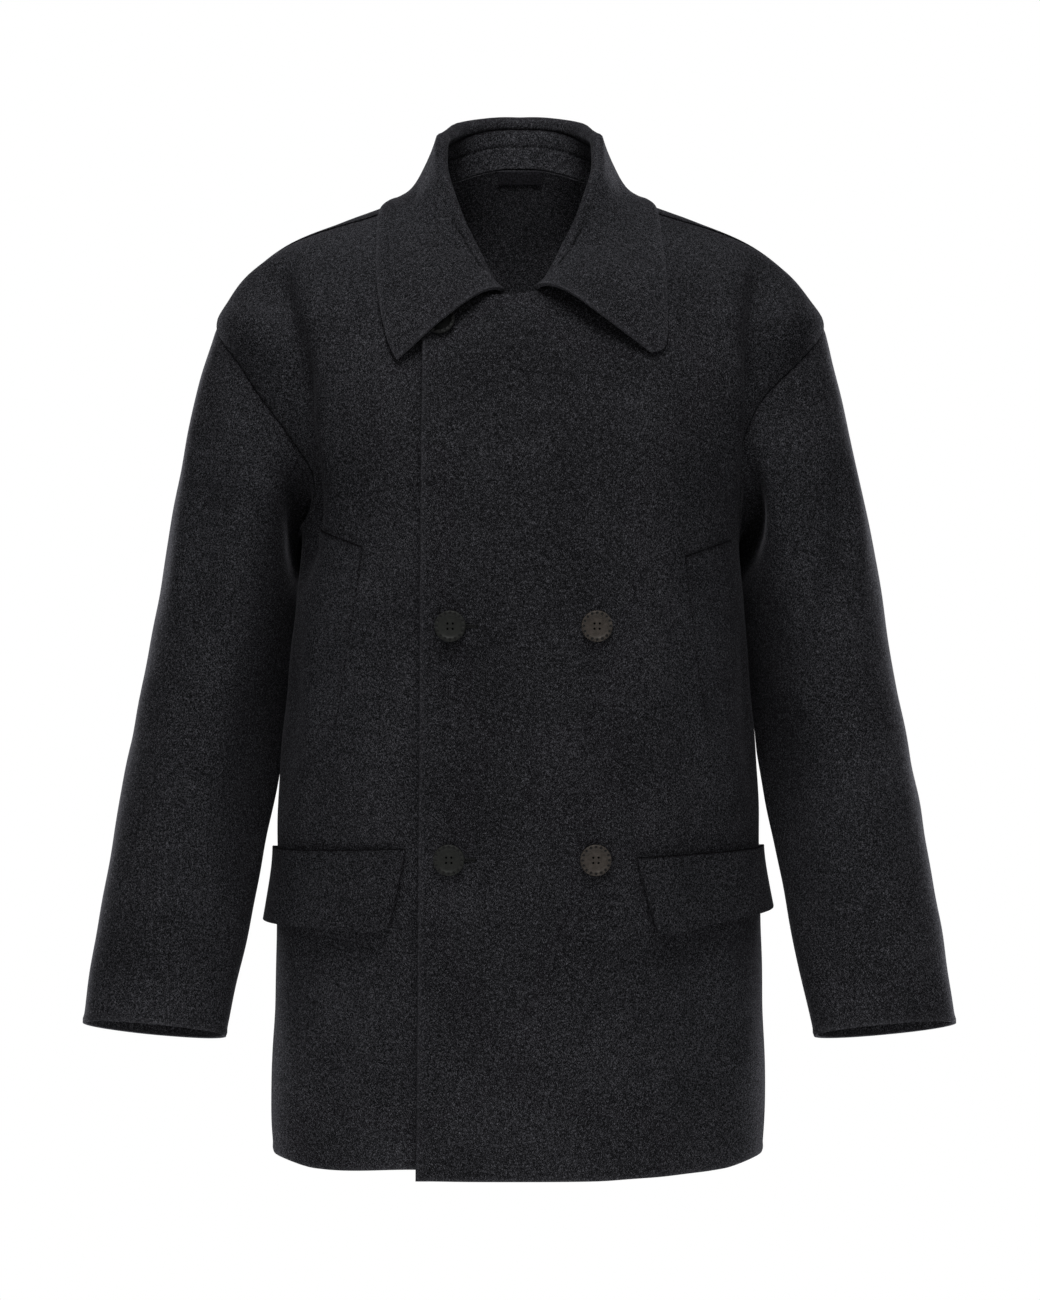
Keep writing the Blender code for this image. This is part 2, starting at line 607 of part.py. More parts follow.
def grid_normals(points, wrap):
    """Unit normals of a grid of points, pointing away from the tube's axis."""
    if wrap:
        around = np.roll(points, -1, axis=1) - np.roll(points, 1, axis=1)
    else:
        around = np.gradient(points, axis=1)
    along = np.gradient(points, axis=0)
    normal = np.cross(along, around)
    return normal / np.linalg.norm(normal, axis=-1, keepdims=True)


def tube_normals(points):
    """Normals of a tube's grid that point out of the tube."""
    normal = grid_normals(points, True)
    outward = points[-1] - points[-1].mean(axis=0)
    return normal if (normal[-1] * outward).sum() > 0 else -normal


def build_sleeve(name, side, material):
    turns = np.concatenate([FRONT_RING, BACK_RING[1:-1][::-1]])
    start = armhole_ring(turns, -SEAM_GAP / 2)
    first, axis = sleeve_section(turns, SLEEVE_HEIGHTS[0])
    angle = np.radians(turns)
    top = (1 + np.cos(angle)) / 2
    leave = np.stack([0.018 + 0.022 * top + 0.050 * np.abs(np.sin(angle)),
                      -0.060 * np.sin(angle),
                      -0.020 - 0.130 * top], axis=-1)
    arrive = axis[None, :] * (0.05 + 0.16 * top)[:, None]
    rings = [start]
    for s in SLEEVE_RINGS:
        rings.append(start * (1 + 2 * s) * (1 - s) ** 2 + leave * s * (1 - s) ** 2
                     + first * s * s * (3 - 2 * s) - arrive * s * s * (1 - s))
    rings += [sleeve_section(turns, height)[0] for height in SLEEVE_HEIGHTS]
    outer = np.array(rings)
    folds = sleeve_fold_depth(name.split("_")[1], turns[None, :], outer[..., 2])
    folds[0] = 0.0
    outer = outer - tube_normals(outer) * folds[..., None]
    below = smooth(-outer[..., 2], ARM_HALF_HEIGHT - ARM_MIDDLE - 0.004, ARM_HALF_HEIGHT - ARM_MIDDLE + 0.010)
    cleared = push_clear(outer, SLEEVE_CLEAR)
    outer[1:] = (outer + (cleared - outer) * below[..., None])[1:]
    normal = tube_normals(outer)
    ring_run = np.roll(outer[0], -1, axis=0) - np.roll(outer[0], 1, axis=0)
    away = np.cross(form_normal(outer[0]), ring_run)
    away /= np.linalg.norm(away, axis=-1, keepdims=True)
    centre = outer[0].mean(axis=0)
    away *= np.sign(((centre - outer[0]) * away).sum(-1, keepdims=True))
    into = (normal[0] * away).sum(-1, keepdims=True)
    normal[0] -= away * (np.clip(into, 0.0, None) + 0.02)
    normal[0] /= np.linalg.norm(normal[0], axis=-1, keepdims=True)
    inner = outer - normal * CLOTH
    flip = np.array([side, 1.0, 1.0])
    return wall(name, outer * flip, inner * flip, material, wrap=True)


# ---------------------------------------------------------------- collar
def square_to(vectors, others):
    """Unit vectors: vectors without their part along others."""
    others = others / np.linalg.norm(others, axis=-1, keepdims=True)
    vectors = vectors - others * (vectors * others).sum(-1, keepdims=True)
    return vectors / np.linalg.norm(vectors, axis=-1, keepdims=True)


def collar_half(rows, rise_below):
    """The middle of the collar's cloth on one side: rows go from seam to edge."""
    behind = np.linspace(0.0, 180.0 - neck_seam_turn(1), NECK_COLUMNS)
    before = np.linspace(180.0 - neck_seam_turn(-1), 180.0, NECK_COLUMNS)[1:-1]
    turns = np.concatenate([behind, before])
    read = {name: table_curve(rows, COLLAR_COLUMNS, "turn", name)(turns) for name in COLLAR_COLUMNS[1:]}
    seam = neck_ring(180.0 - turns, -SEAM_GAP / 2)
    seam += form_normal(seam) * rise_below(seam)[:, None]
    inward = -seam * np.array([1.0, 1.0, 0.0])
    inward /= np.linalg.norm(inward, axis=-1, keepdims=True)
    fold = seam + inward * read["lean"][:, None]
    fold[:, 2] += read["rise"] - ROLL_RADIUS
    seam[:, 2] += SEAM_GAP
    run = np.gradient(fold, axis=0)
    run[0] = (1.0, 0.0, 0.0)
    up = square_to(square_to(fold - seam, run), run)
    inward = square_to(square_to(inward, run), up)
    stand = [seam + (fold - seam) * s for s in STAND_STEPS]
    edge = np.stack([read["edge_x"], read["edge_y"], read["edge_z"]], axis=-1)
    clear = COLLAR_LIFT_BACK + (COLLAR_LIFT_FRONT - COLLAR_LIFT_BACK) * smooth(turns, 95.0, 125.0)
    for _ in range(6):
        edge = edge + form_normal(edge) * (clear - form_distance(edge))[:, None]
    radius = np.minimum(ROLL_RADIUS, read["rise"] * 0.45)
    roll = [fold - inward * (radius * (1 - math.cos(math.radians(a))))[:, None]
            + up * (radius * math.sin(math.radians(a)))[:, None] for a in (50.0, 90.0, 135.0, 175.0)]
    start = roll[-1]
    drop = np.linalg.norm(edge - start, axis=-1, keepdims=True)
    leave = -up * drop * 1.25 - inward * drop * 0.15
    land = (edge - start) / drop
    land = land - form_normal(edge) * (land * form_normal(edge)).sum(-1, keepdims=True)
    land = land / np.linalg.norm(land, axis=-1, keepdims=True) * drop * 0.9
    front = smooth(turns, 120.0, 160.0)[:, None]
    leave = leave * (1 - front) + (edge - start) * front
    fall = []
    for s in np.linspace(0.0, 1.0, FALL_ROWS)[1:]:
        point = (start * (1 + 2 * s) * (1 - s) ** 2 + leave * s * (1 - s) ** 2
                 + edge * s * s * (3 - 2 * s) - land * s * s * (1 - s))
        fall.append(point)
    grid = np.array(stand + roll + fall)
    from_row = len(stand) + len(roll)
    grid[from_row:] = push_clear(grid[from_row:], clear[None, :])
    return grid


def build_collar(material):
    left = collar_half(COLLAR_LEFT, lap_rise)
    right = collar_half(COLLAR_RIGHT, no_rise) * np.array([-1.0, 1.0, 1.0])
    grid = np.concatenate([right[:, :0:-1], left], axis=1)
    near = np.hypot(grid[..., 0] - NECK_BUTTON[0], grid[..., 2] - NECK_BUTTON[1])
    bump = np.exp(-(near / 0.034) ** 2) * NECK_BUTTON_LIFT
    bump[:len(STAND_STEPS)] = 0.0
    grid = grid + form_normal(grid) * bump[..., None]
    normal = grid_normals(grid, False)
    split = 2
    seam_shift = (grid[split + 1] - grid[split]) / np.linalg.norm(
        grid[split + 1] - grid[split], axis=-1, keepdims=True) * SEAM_GAP / 2
    stand = grid[:split + 1].copy()
    stand[-1] -= seam_shift * 2.0
    fall = grid[split:].copy()
    fall[0] += seam_shift
    half = CLOTH / 2
    wall("collar_stand", stand + normal[:split + 1] * half, stand - normal[:split + 1] * half, material)
    wall("collar", fall + normal[split:] * half, fall - normal[split:] * half, material)


# ---------------------------------------------------------------- buttons
def build_button(name, x, height, material):
    """A turned four-hole button on the upper front."""
    profile = ((0.0, 0.0), (0.72, 0.0), (0.95, 0.24), (1.0, 0.55), (0.97, 0.85), (0.88, 1.0),
               (0.76, 0.97), (0.66, 0.72), (0.5, 0.66), (0.0, 0.64))
    points = [(r * BUTTON_RADIUS, 0.0, h * BUTTON_THICK) for r, h in profile]
    mesh = bpy.data.meshes.new(name)
    shape = bmesh.new()
    ring = [shape.verts.new(p) for p in points]
    edges = [shape.edges.new((a, b)) for a, b in zip(ring[:-1], ring[1:])]
    bmesh.ops.spin(shape, geom=ring + edges, cent=(0, 0, 0), axis=(0, 0, 1), angle=math.tau,
                   steps=20, use_duplicate=False)
    bmesh.ops.remove_doubles(shape, verts=shape.verts, dist=0.00001)
    bmesh.ops.recalc_face_normals(shape, faces=shape.faces)
    shape.to_mesh(mesh)
    shape.free()
    mesh.shade_smooth()
    mesh.set_sharp_from_angle(angle=math.radians(40))
    button = bpy.data.objects.new(name, mesh)
    button.data.materials.append(material)
    COAT.objects.link(button)
    at = form_point(turn_at(x, height), height)
    normal = form_normal(at)
    facing = Vector(normal).to_track_quat("Z", "Y").to_matrix().to_4x4()
    seat = at + normal * (lap_rise(at) + SEAM_GAP)
    button.matrix_world = Matrix.Translation(Vector(seat)) @ facing
    for k in range(4):
        quarter = math.radians(45 + 90 * k)
        offset = Vector((math.cos(quarter), math.sin(quarter), 0.0)) * BUTTON_HOLE_OFFSET
        bpy.ops.mesh.primitive_cylinder_add(vertices=8, radius=BUTTON_HOLE_RADIUS, depth=0.02)
        cutter = bpy.context.object
        cutter.name = f"cut_{name}_{k}"
        cutter.matrix_world = button.matrix_world @ Matrix.Translation(offset)
        cutter.display_type = "WIRE"
        cutter.hide_render = True
        for home in list(cutter.users_collection):
            home.objects.unlink(cutter)
        CUTTERS.objects.link(cutter)
        cut = button.modifiers.new(f"hole_{k}", "BOOLEAN")
        cut.object = cutter
        cut.operation = "DIFFERENCE"
        cut.solver = "EXACT"


def make_material(name):
    colour, roughness = COLOURS[name]
    material = bpy.data.materials.new(name)
    material.use_nodes = True
    shader = material.node_tree.nodes["Principled BSDF"]
    shader.inputs["Base Color"].default_value = colour
    shader.inputs["Roughness"].default_value = roughness
    shader.inputs["Metallic"].default_value = 0.0
    material.diffuse_color = colour
    return material


for old in list(bpy.data.objects):
    bpy.data.objects.remove(old, do_unlink=True)
COAT = bpy.data.collections.new("peacoat")
CUTTERS = bpy.data.collections.new("cutters")
bpy.context.scene.collection.children.link(COAT)
bpy.context.scene.collection.children.link(CUTTERS)

melton = {name: make_material("melton") for name in (
    "back", "front_over", "front_under", "sleeve_left", "sleeve_right", "collar", "trim")}
horn = make_material("horn")
tape = make_material("tape")

back_out, back_in = build_back(melton["back"])
over_out, _ = build_front("front_over", 1, lambda z: -front_edge(z), 5, lap_rise, LAP_HEM_DROP,
                          melton["front_over"])
under_out, _ = build_front("front_under", -1, lambda z: UNDERLAP + 0 * z, 4, no_rise, 0.0,
                           melton["front_under"])
build_sleeve("sleeve_left", 1, melton["sleeve_left"])
build_sleeve("sleeve_right", -1, melton["sleeve_right"])
build_collar(melton["collar"])
build_flap("flap_left", 1, over_out, melton["trim"])
build_flap("flap_right", -1, under_out, melton["trim"])
build_welt("welt_left", 1, over_out, melton["trim"])
build_welt("welt_right", -1, under_out, melton["trim"])
build_label(back_in, tape)
for row, row_height in zip(("upper", "lower"), BUTTON_ROWS):
    column = front_edge(row_height) + BUTTON_INSET
    build_button(f"button_{row}_right", column, row_height, horn)
    build_button(f"button_{row}_left", column + BUTTON_SPREAD, row_height, horn)
build_button("button_neck", NECK_BUTTON[0], NECK_BUTTON[1], horn)
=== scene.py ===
# A double-breasted wool coat in its worn shape: fine cloth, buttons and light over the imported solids.
import math

import bmesh
import bpy
import numpy as np
from mathutils import Matrix, Vector


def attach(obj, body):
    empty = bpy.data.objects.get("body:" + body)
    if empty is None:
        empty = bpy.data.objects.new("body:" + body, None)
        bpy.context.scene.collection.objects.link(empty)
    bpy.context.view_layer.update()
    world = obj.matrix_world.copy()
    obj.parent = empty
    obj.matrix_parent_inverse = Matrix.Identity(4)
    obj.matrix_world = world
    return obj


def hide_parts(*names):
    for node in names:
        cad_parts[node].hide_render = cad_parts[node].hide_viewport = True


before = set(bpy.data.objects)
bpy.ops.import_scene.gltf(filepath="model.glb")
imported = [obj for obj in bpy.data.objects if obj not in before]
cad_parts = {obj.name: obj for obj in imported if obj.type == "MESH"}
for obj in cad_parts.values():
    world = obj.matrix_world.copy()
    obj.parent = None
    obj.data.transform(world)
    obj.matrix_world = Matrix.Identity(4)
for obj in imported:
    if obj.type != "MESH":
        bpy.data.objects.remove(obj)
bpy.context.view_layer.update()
print("frame loaded:", len(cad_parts), "nodes")

# the outside of the worn body, level by level: half the width, the depth to the front and to
# the back, and how square each level is (2 is an ellipse)
form = {
    "columns": ("height", "halfWidth", "front", "back", "square"),
    "rows": (
        (-0.8500, 0.2105, 0.1422, 0.1372, 2.50),
        (-0.8250, 0.2130, 0.1440, 0.1390, 2.50),
        (-0.6800, 0.2100, 0.1450, 0.1370, 2.55),
        (-0.5700, 0.2080, 0.1440, 0.1330, 2.60),
        (-0.4870, 0.2060, 0.1430, 0.1310, 2.65),
        (-0.4300, 0.2000, 0.1430, 0.1310, 2.70),
        (-0.3600, 0.1935, 0.1425, 0.1330, 2.70),
        (-0.3050, 0.1900, 0.1410, 0.1350, 2.70),
        (-0.2760, 0.1935, 0.1390, 0.1350, 2.70),
        (-0.2290, 0.2143, 0.1340, 0.1335, 2.65),
        (-0.1910, 0.2338, 0.1270, 0.1300, 2.60),
        (-0.1510, 0.2510, 0.1175, 0.1250, 2.55),
        (-0.1320, 0.2610, 0.1112, 0.1217, 2.50),
        (-0.1180, 0.2620, 0.1065, 0.1195, 2.50),
        (-0.1020, 0.2530, 0.1000, 0.1160, 2.45),
        (-0.0750, 0.2310, 0.0857, 0.1090, 2.40),
        (-0.0540, 0.2010, 0.0700, 0.1030, 2.40),
        (-0.0330, 0.1530, 0.0540, 0.0960, 2.40),
        (-0.0150, 0.1060, 0.0385, 0.0895, 2.40),
        (0.0030, 0.0790, 0.0300, 0.0830, 2.35),
        (0.0230, 0.0665, 0.0250, 0.0752, 2.30),
        (0.0400, 0.0600, 0.0200, 0.0700, 2.30),
    ),
}
cloth = {
    "thick": 0.003,         # melton with its facing
    "trimThick": 0.0022,    # welts
    "seamGap": 0.0003,      # between pieces that are sewn together
    "lapGap": 0.0014,       # between the two fronts where they lap
    "edgeRound": 0.0011,    # how far a cut or turned edge is rounded
    "rimFuzz": 0.0028,      # how wide the paler fuzz along a free edge is
    "seamSink": 0.0004, "seamWide": 0.0026,     # a pressed seam pulls the cloth in beside it
    "seamLine": 0.0010, "paintedShade": 0.15,      # and along it lies a thin line of painted shade
    "hemSwell": 0.0008, "hemWide": 0.0065,      # turned-in layers swell a free edge
    "turning": 0.0012, "turningRound": 0.0003,  # one layer of a seam's turnings, inside the coat
}
lapRiseFull = cloth["thick"] + cloth["lapGap"]


def smoothStep(value, low, high):
    share = np.clip((np.asarray(value, dtype=float) - low) / (high - low), 0.0, 1.0)
    return share * share * (3.0 - 2.0 * share)


def tableCurve(table, key, name):  # one column of a table as a smooth function of another
    keyAt, nameAt = table["columns"].index(key), table["columns"].index(name)
    rows = sorted(table["rows"], key=lambda row: row[keyAt])
    xs = np.array([row[keyAt] for row in rows], dtype=float)
    ys = np.array([row[nameAt] for row in rows], dtype=float)
    steps = np.diff(xs)
    slopes = np.diff(ys) / steps
    ends = np.empty_like(ys)
    ends[0], ends[-1] = slopes[0], slopes[-1]
    ends[1:-1] = (slopes[:-1] * steps[1:] + slopes[1:] * steps[:-1]) / (steps[:-1] + steps[1:])

    def read(value):
        value = np.clip(np.asarray(value, dtype=float), xs[0], xs[-1])
        at = np.clip(np.searchsorted(xs, value) - 1, 0, len(steps) - 1)
        s = (value - xs[at]) / steps[at]
        rise = ys[at] * (1 + 2 * s) * (1 - s) ** 2 + ys[at + 1] * s * s * (3 - 2 * s)
        return rise + steps[at] * (ends[at] * s * (1 - s) ** 2 - ends[at + 1] * s * s * (1 - s))

    return read


halfWidthAt, frontAt, backAt, squareAt = (tableCurve(form, "height", name) for name in form["columns"][1:])


def formPoint(turn, height):  # turn 0 is the centre front, 90 the wearer's left side
    angle = np.radians(turn)
    across, along = np.sin(angle), np.cos(angle)
    power = 2.0 / squareAt(height)
    depth = np.where(along > 0, frontAt(height), backAt(height))
    x = halfWidthAt(height) * np.sign(across) * np.abs(across) ** power
    y = -depth * np.sign(along) * np.abs(along) ** power
    return np.stack([x, y, np.broadcast_to(height, x.shape)], axis=-1)


def formLevel(points):  # 1 on the form, less inside it
    x, y, z = points[..., 0], points[..., 1], points[..., 2]
    n = squareAt(z)
    depth = np.where(y < 0, frontAt(z), backAt(z))
    return ((np.abs(x) / halfWidthAt(z)) ** n + (np.abs(y) / depth) ** n) ** (1.0 / n)


def formSlope(points, step=1e-5):
    parts = []
    for axis in range(3):
        shift = np.zeros(3)
        shift[axis] = step
        parts.append((formLevel(points + shift) - formLevel(points - shift)) / (2 * step))
    return np.stack(parts, axis=-1)


def unit(vectors):
    return vectors / np.linalg.norm(vectors, axis=-1, keepdims=True)


def formNormal(points):
    return unit(formSlope(points))


def formDistance(points):
    return (formLevel(points) - 1.0) / np.linalg.norm(formSlope(points), axis=-1)


def pushClear(points, clearance):
    moved = points.copy()
    for _ in range(4):
        short = np.clip(clearance - formDistance(moved), 0.0, None)
        moved = moved + formNormal(moved) * short[..., None]
    return moved


def turnAt(x, height):  # the turn of the front's point at x
    share = np.clip(np.abs(x) / halfWidthAt(height), 0.0, 1.0)
    return np.sign(x) * np.degrees(np.arcsin(share ** (squareAt(height) / 2.0)))


def turnOf(points):
    n = squareAt(points[..., 2])
    depth = np.where(points[..., 1] < 0, frontAt(points[..., 2]), backAt(points[..., 2]))
    across = (np.abs(points[..., 0]) / halfWidthAt(points[..., 2])) ** (n / 2)
    along = (np.abs(points[..., 1]) / depth) ** (n / 2) * -np.sign(points[..., 1])
    return np.degrees(np.arctan2(across, along))


def waves(points, seed, sizes, heights, ways=6):  # slow unevenness of hand-pressed cloth
    pick = np.random.default_rng(seed)
    total = np.zeros(points.shape[:-1])
    for size, high in zip(sizes, heights):
        for _ in range(ways):
            way = unit(pick.normal(size=3))
            total = total + high / ways * np.sin(points @ way * math.tau / size + pick.uniform(0, math.tau))
    return total


# a grid of points becomes a piece of cloth with two faces and a rounded rim
def quadCorners(rows, columns, wrap):
    i = np.arange(rows - 1)[:, None]
    j = np.arange(columns if wrap else columns - 1)[None, :]
    k = (j + 1) % columns
    near, far = i * columns, (i + 1) * columns
    return np.stack([near + j, near + k, far + k, far + j], axis=-1).reshape(-1, 4)


def rimLoops(rows, columns, wrap):
    if wrap:
        first = list(range(columns)) + [0]
        last = [(rows - 1) * columns + j for j in reversed(range(columns))] + [rows * columns - 1]
        return [first, last]
    loop = list(range(columns)) + [i * columns + columns - 1 for i in range(1, rows)]
    loop += [(rows - 1) * columns + j for j in reversed(range(columns - 1))]
    loop += [i * columns for i in reversed(range(rows - 1))]
    return [loop]


def makeMesh(name, points, faces):
    mesh = bpy.data.meshes.new(name)
    mesh.from_pydata(points.tolist(), [], [tuple(face) for face in faces])
    shape = bmesh.new()
    shape.from_mesh(mesh)
    bmesh.ops.recalc_face_normals(shape, faces=shape.faces)
    shape.to_mesh(mesh)
    shape.free()
    mesh.shade_smooth()
    piece = bpy.data.objects.new(name, mesh)
    bpy.context.scene.collection.objects.link(piece)
    return piece


def denser(grid, axis, first):  # more lines close to one edge of the grid
    grid = np.moveaxis(grid, axis, 0)
    grid = grid if first else grid[::-1]
    more = [grid[0] + (grid[1] - grid[0]) * s for s in (0.14, 0.28, 0.44, 0.66)]
    grid = np.concatenate([grid[:1], more, grid[1:]])
    return np.moveaxis(grid if first else grid[::-1], 0, axis)


def fromEdge(points, axis, first):  # how far each point lies from one edge of the grid
    points = np.moveaxis(points, axis, 0)
    points = points if first else points[::-1]
    steps = np.linalg.norm(np.diff(points, axis=0), axis=-1)
    away = np.concatenate([np.zeros((1,) + steps.shape[1:]), np.cumsum(steps, axis=0)])
    return np.moveaxis(away if first else away[::-1], 0, axis)


def seamLine(away):  # a thin line of painted shade along a seam or an edge
    return np.exp(-(away / cloth["seamLine"]) ** 2)


def clothPiece(name, outer, inner, material, wrap=False, edgeRound=None, rim=None, shade=None):
    rows, columns = outer.shape[:2]
    count = rows * columns
    quads = quadCorners(rows, columns, wrap)
    faces = [tuple(q) for q in quads] + [tuple(q[::-1] + count) for q in quads]
    for loop in rimLoops(rows, columns, wrap):
        faces += [(b, a, count + a, count + b) for a, b in zip(loop[:-1], loop[1:])]
    piece = makeMesh(name, np.concatenate([outer.reshape(-1, 3), inner.reshape(-1, 3)]), faces)
    nearRim = np.zeros((rows, columns)) if rim is None else np.exp(-(rim / cloth["rimFuzz"]) ** 2)
    worn = piece.data.attributes.new("rimFuzz", "FLOAT", "POINT")
    worn.data.foreach_set("value", np.concatenate([nearRim.ravel(), nearRim.ravel()]))
    # shade is painted shade, which the melton reads from the paintedShade attribute
    shade = np.zeros((rows, columns)) if shade is None else shade
    dark = piece.data.attributes.new("paintedShade", "FLOAT", "POINT")
    dark.data.foreach_set("value", np.concatenate([shade.ravel(), shade.ravel()]))
    rounding = piece.modifiers.new("edge", "BEVEL")
    rounding.width = cloth["edgeRound"] if edgeRound is None else edgeRound
    rounding.segments = 3
    rounding.limit_method = "ANGLE"
    rounding.angle_limit = math.radians(50)
    piece.data.materials.append(material)
    return piece


def dress(piece, slot, *nodes):
    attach(piece, "root")
    if nodes:
        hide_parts(*nodes)
    return piece


# the two fronts and the back, cut to the form
body = {
    "hem": -0.837,
    "lapHemDrop": 0.0085,                           # the upper front hangs this much lower
    "hemFull": 0.0045,                              # and both fronts this much between pocket and side seam
    "armMiddle": -0.2145, "armHalfHeight": 0.0905, "armFront": 0.060, "armBack": 0.070,
    "tipFlare": 0.0008, "tipFrom": (0.225, 0.250), "tipBelow": (0.110, 0.127),
    "seamPad": 0.0030, "padWide": 0.014,            # the body stands over the sleeve round the armhole
    "edgeLift": 0.0018, "edgeWide": 0.010,          # the lapped edge stands off the front below
    "edgeShade": 0.75, "edgeShadeWide": 0.0008,
    "unevenSizes": (0.26, 0.13, 0.06), "unevenHeights": (0.0026, 0.0014, 0.0006), "unevenSeed": 11,
    "shoulderStep": 0.0012, "stepWide": 0.009, "shoulderSeam": 0.033, "shoulderSeamFade": (0.150, 0.235),
    "neckSide": 0.079, "neckFront": 0.1013, "neckBack": 0.075, "neckSquare": 2.2,
    "neckHeights": (-0.125, 0.0399),    # the neck seam runs somewhere between these
    "edgeTop": (-0.0808, -0.100), "edgeLow": (-0.0851, -0.845),     # x and height of the lapped edge
    "underLap": 0.080,
    "lapFade": (0.108, 0.148), "lapNeckFade": (-0.100, -0.062), "lapTopDrop": 0.0015,
    "sideRows": 96, "armholeRows": 54, "shoulderRows": 44, "columns": 58, "lapColumns": 26,
    "sideTop": -0.332, "sideCrowding": 1.2, "evening": 900,
}
# soft folds of the body: face (-1 the front), from (x, height) to (x, height), half width,
# depth, and how much of the pressed-in cloth stands up beside it
bodyFolds = (
    (-1, 0.212, -0.035, 0.207, -0.215, 0.0170, 0.0200, 0.00),
    (-1, 0.208, -0.140, 0.210, -0.340, 0.0150, 0.0180, 0.00),
    (-1, -0.211, -0.035, -0.190, -0.215, 0.0180, 0.0225, 0.00),
    (-1, -0.192, -0.140, -0.191, -0.350, 0.0180, 0.0200, 0.00),
    (-1, 0.200, -0.300, 0.204, -0.560, 0.0150, 0.0050, 0.10),
    (-1, -0.196, -0.300, -0.203, -0.560, 0.0150, 0.0050, 0.10),
    (-1, -0.015, -0.170, -0.018, -0.275, 0.0050, 0.0013, 0.50),
    (-1, -0.150, -0.070, -0.165, -0.190, 0.0160, 0.0022, 0.40),
    (-1, 0.150, -0.075, 0.162, -0.200, 0.0160, 0.0022, 0.40),
    (-1, 0.110, -0.230, 0.060, -0.330, 0.0140, 0.0014, 0.40),
    (-1, -0.120, -0.250, -0.105, -0.420, 0.0160, 0.0014, 0.40),
    (-1, 0.020, -0.440, 0.035, -0.800, 0.0220, 0.0018, 0.40),
    (-1, -0.150, -0.480, -0.150, -0.830, 0.0200, 0.0020, 0.40),
    (-1, 0.150, -0.500, 0.160, -0.830, 0.0200, 0.0022, 0.40),
    (1, 0.190, -0.100, 0.165, -0.330, 0.020, 0.0050, 0.30),
    (1, -0.192, -0.100, -0.168, -0.340, 0.020, 0.0050, 0.30),
    (1, 0.060, -0.520, 0.085, -0.860, 0.030, 0.0050, 0.20),
    (1, -0.075, -0.560, -0.090, -0.860, 0.028, 0.0045, 0.20),
    (1, 0.120, -0.060, 0.040, -0.130, 0.016, 0.0020, 0.40),
    (1, -0.120, -0.060, -0.040, -0.130, 0.016, 0.0020, 0.40),
    (1, 0.150, -0.340, 0.060, -0.430, 0.020, 0.0022, 0.40),
    (1, -0.150, -0.350, -0.050, -0.440, 0.020, 0.0022, 0.40),
)


def foldDepth(points):
    depth = np.zeros(points.shape[:-1])
    for face, topX, topZ, lowX, lowZ, halfWidth, deep, ridge in bodyFolds:
        start = np.array([topX, topZ])
        run = np.array([lowX, lowZ]) - start
        length = np.linalg.norm(run)
        flat = points[..., [0, 2]] - start
        along = flat @ run / length ** 2
        aside = (flat[..., 0] * run[1] - flat[..., 1] * run[0]) / length
        aside = aside + 0.25 * halfWidth * np.sin(along * 5.0 + topX * 40)
        inner = aside * np.sign(topX) > 0      # the side towards the centre is steeper
        width = halfWidth * np.where(inner, 0.80, 1.30)
        ends = smoothStep(along, -0.05, 0.45) * (1 - smoothStep(along, 0.7, 1.08))
        side = smoothStep(points[..., 1] * face, 0.02, 0.06)
        trough = np.exp(-(aside / width) ** 2)
        bank = np.exp(-((np.abs(aside) - 1.9 * width) / (0.9 * width)) ** 2)
        depth += deep * ends * side * (trough - ridge * bank)
    return depth


def armholeRing(angles, grow=0.0):  # 0 the top, 90 the front, 180 the underarm
    angle = np.radians(angles)
    swing = np.sin(angle)
    y = -np.where(swing > 0, body["armFront"] + grow, body["armBack"] + grow) * swing
    z = body["armMiddle"] + (body["armHalfHeight"] + grow) * np.cos(angle)
    depth = np.where(y < 0, frontAt(z), backAt(z))
    n = squareAt(z)
    x = halfWidthAt(z) * (1 - (np.abs(y) / depth) ** n) ** (1 / n)
    return np.stack([x, y, z], axis=-1)


def neckRing(turns, grow=0.0):
    angle = np.radians(turns)
    across, along = np.sin(angle), np.cos(angle)
    power = 2 / body["neckSquare"]
    x = (body["neckSide"] + grow) * np.sign(across) * np.abs(across) ** power
    reach = np.where(along > 0, body["neckFront"], body["neckBack"]) + grow
    y = -reach * np.sign(along) * np.abs(along) ** power
    low, high = (np.full(x.shape, height) for height in body["neckHeights"])
    for _ in range(40):
        middle = (low + high) / 2
        inside = formLevel(np.stack([x, y, middle], axis=-1)) < 1
        low, high = np.where(inside, middle, low), np.where(inside, high, middle)
    return np.stack([x, y, low], axis=-1)


def neckSeamTurn(face):
    share = (body["shoulderSeam"] - cloth["seamGap"] / 2 * face) / body["neckFront"]
    return math.degrees(math.acos(share ** (body["neckSquare"] / 2)))


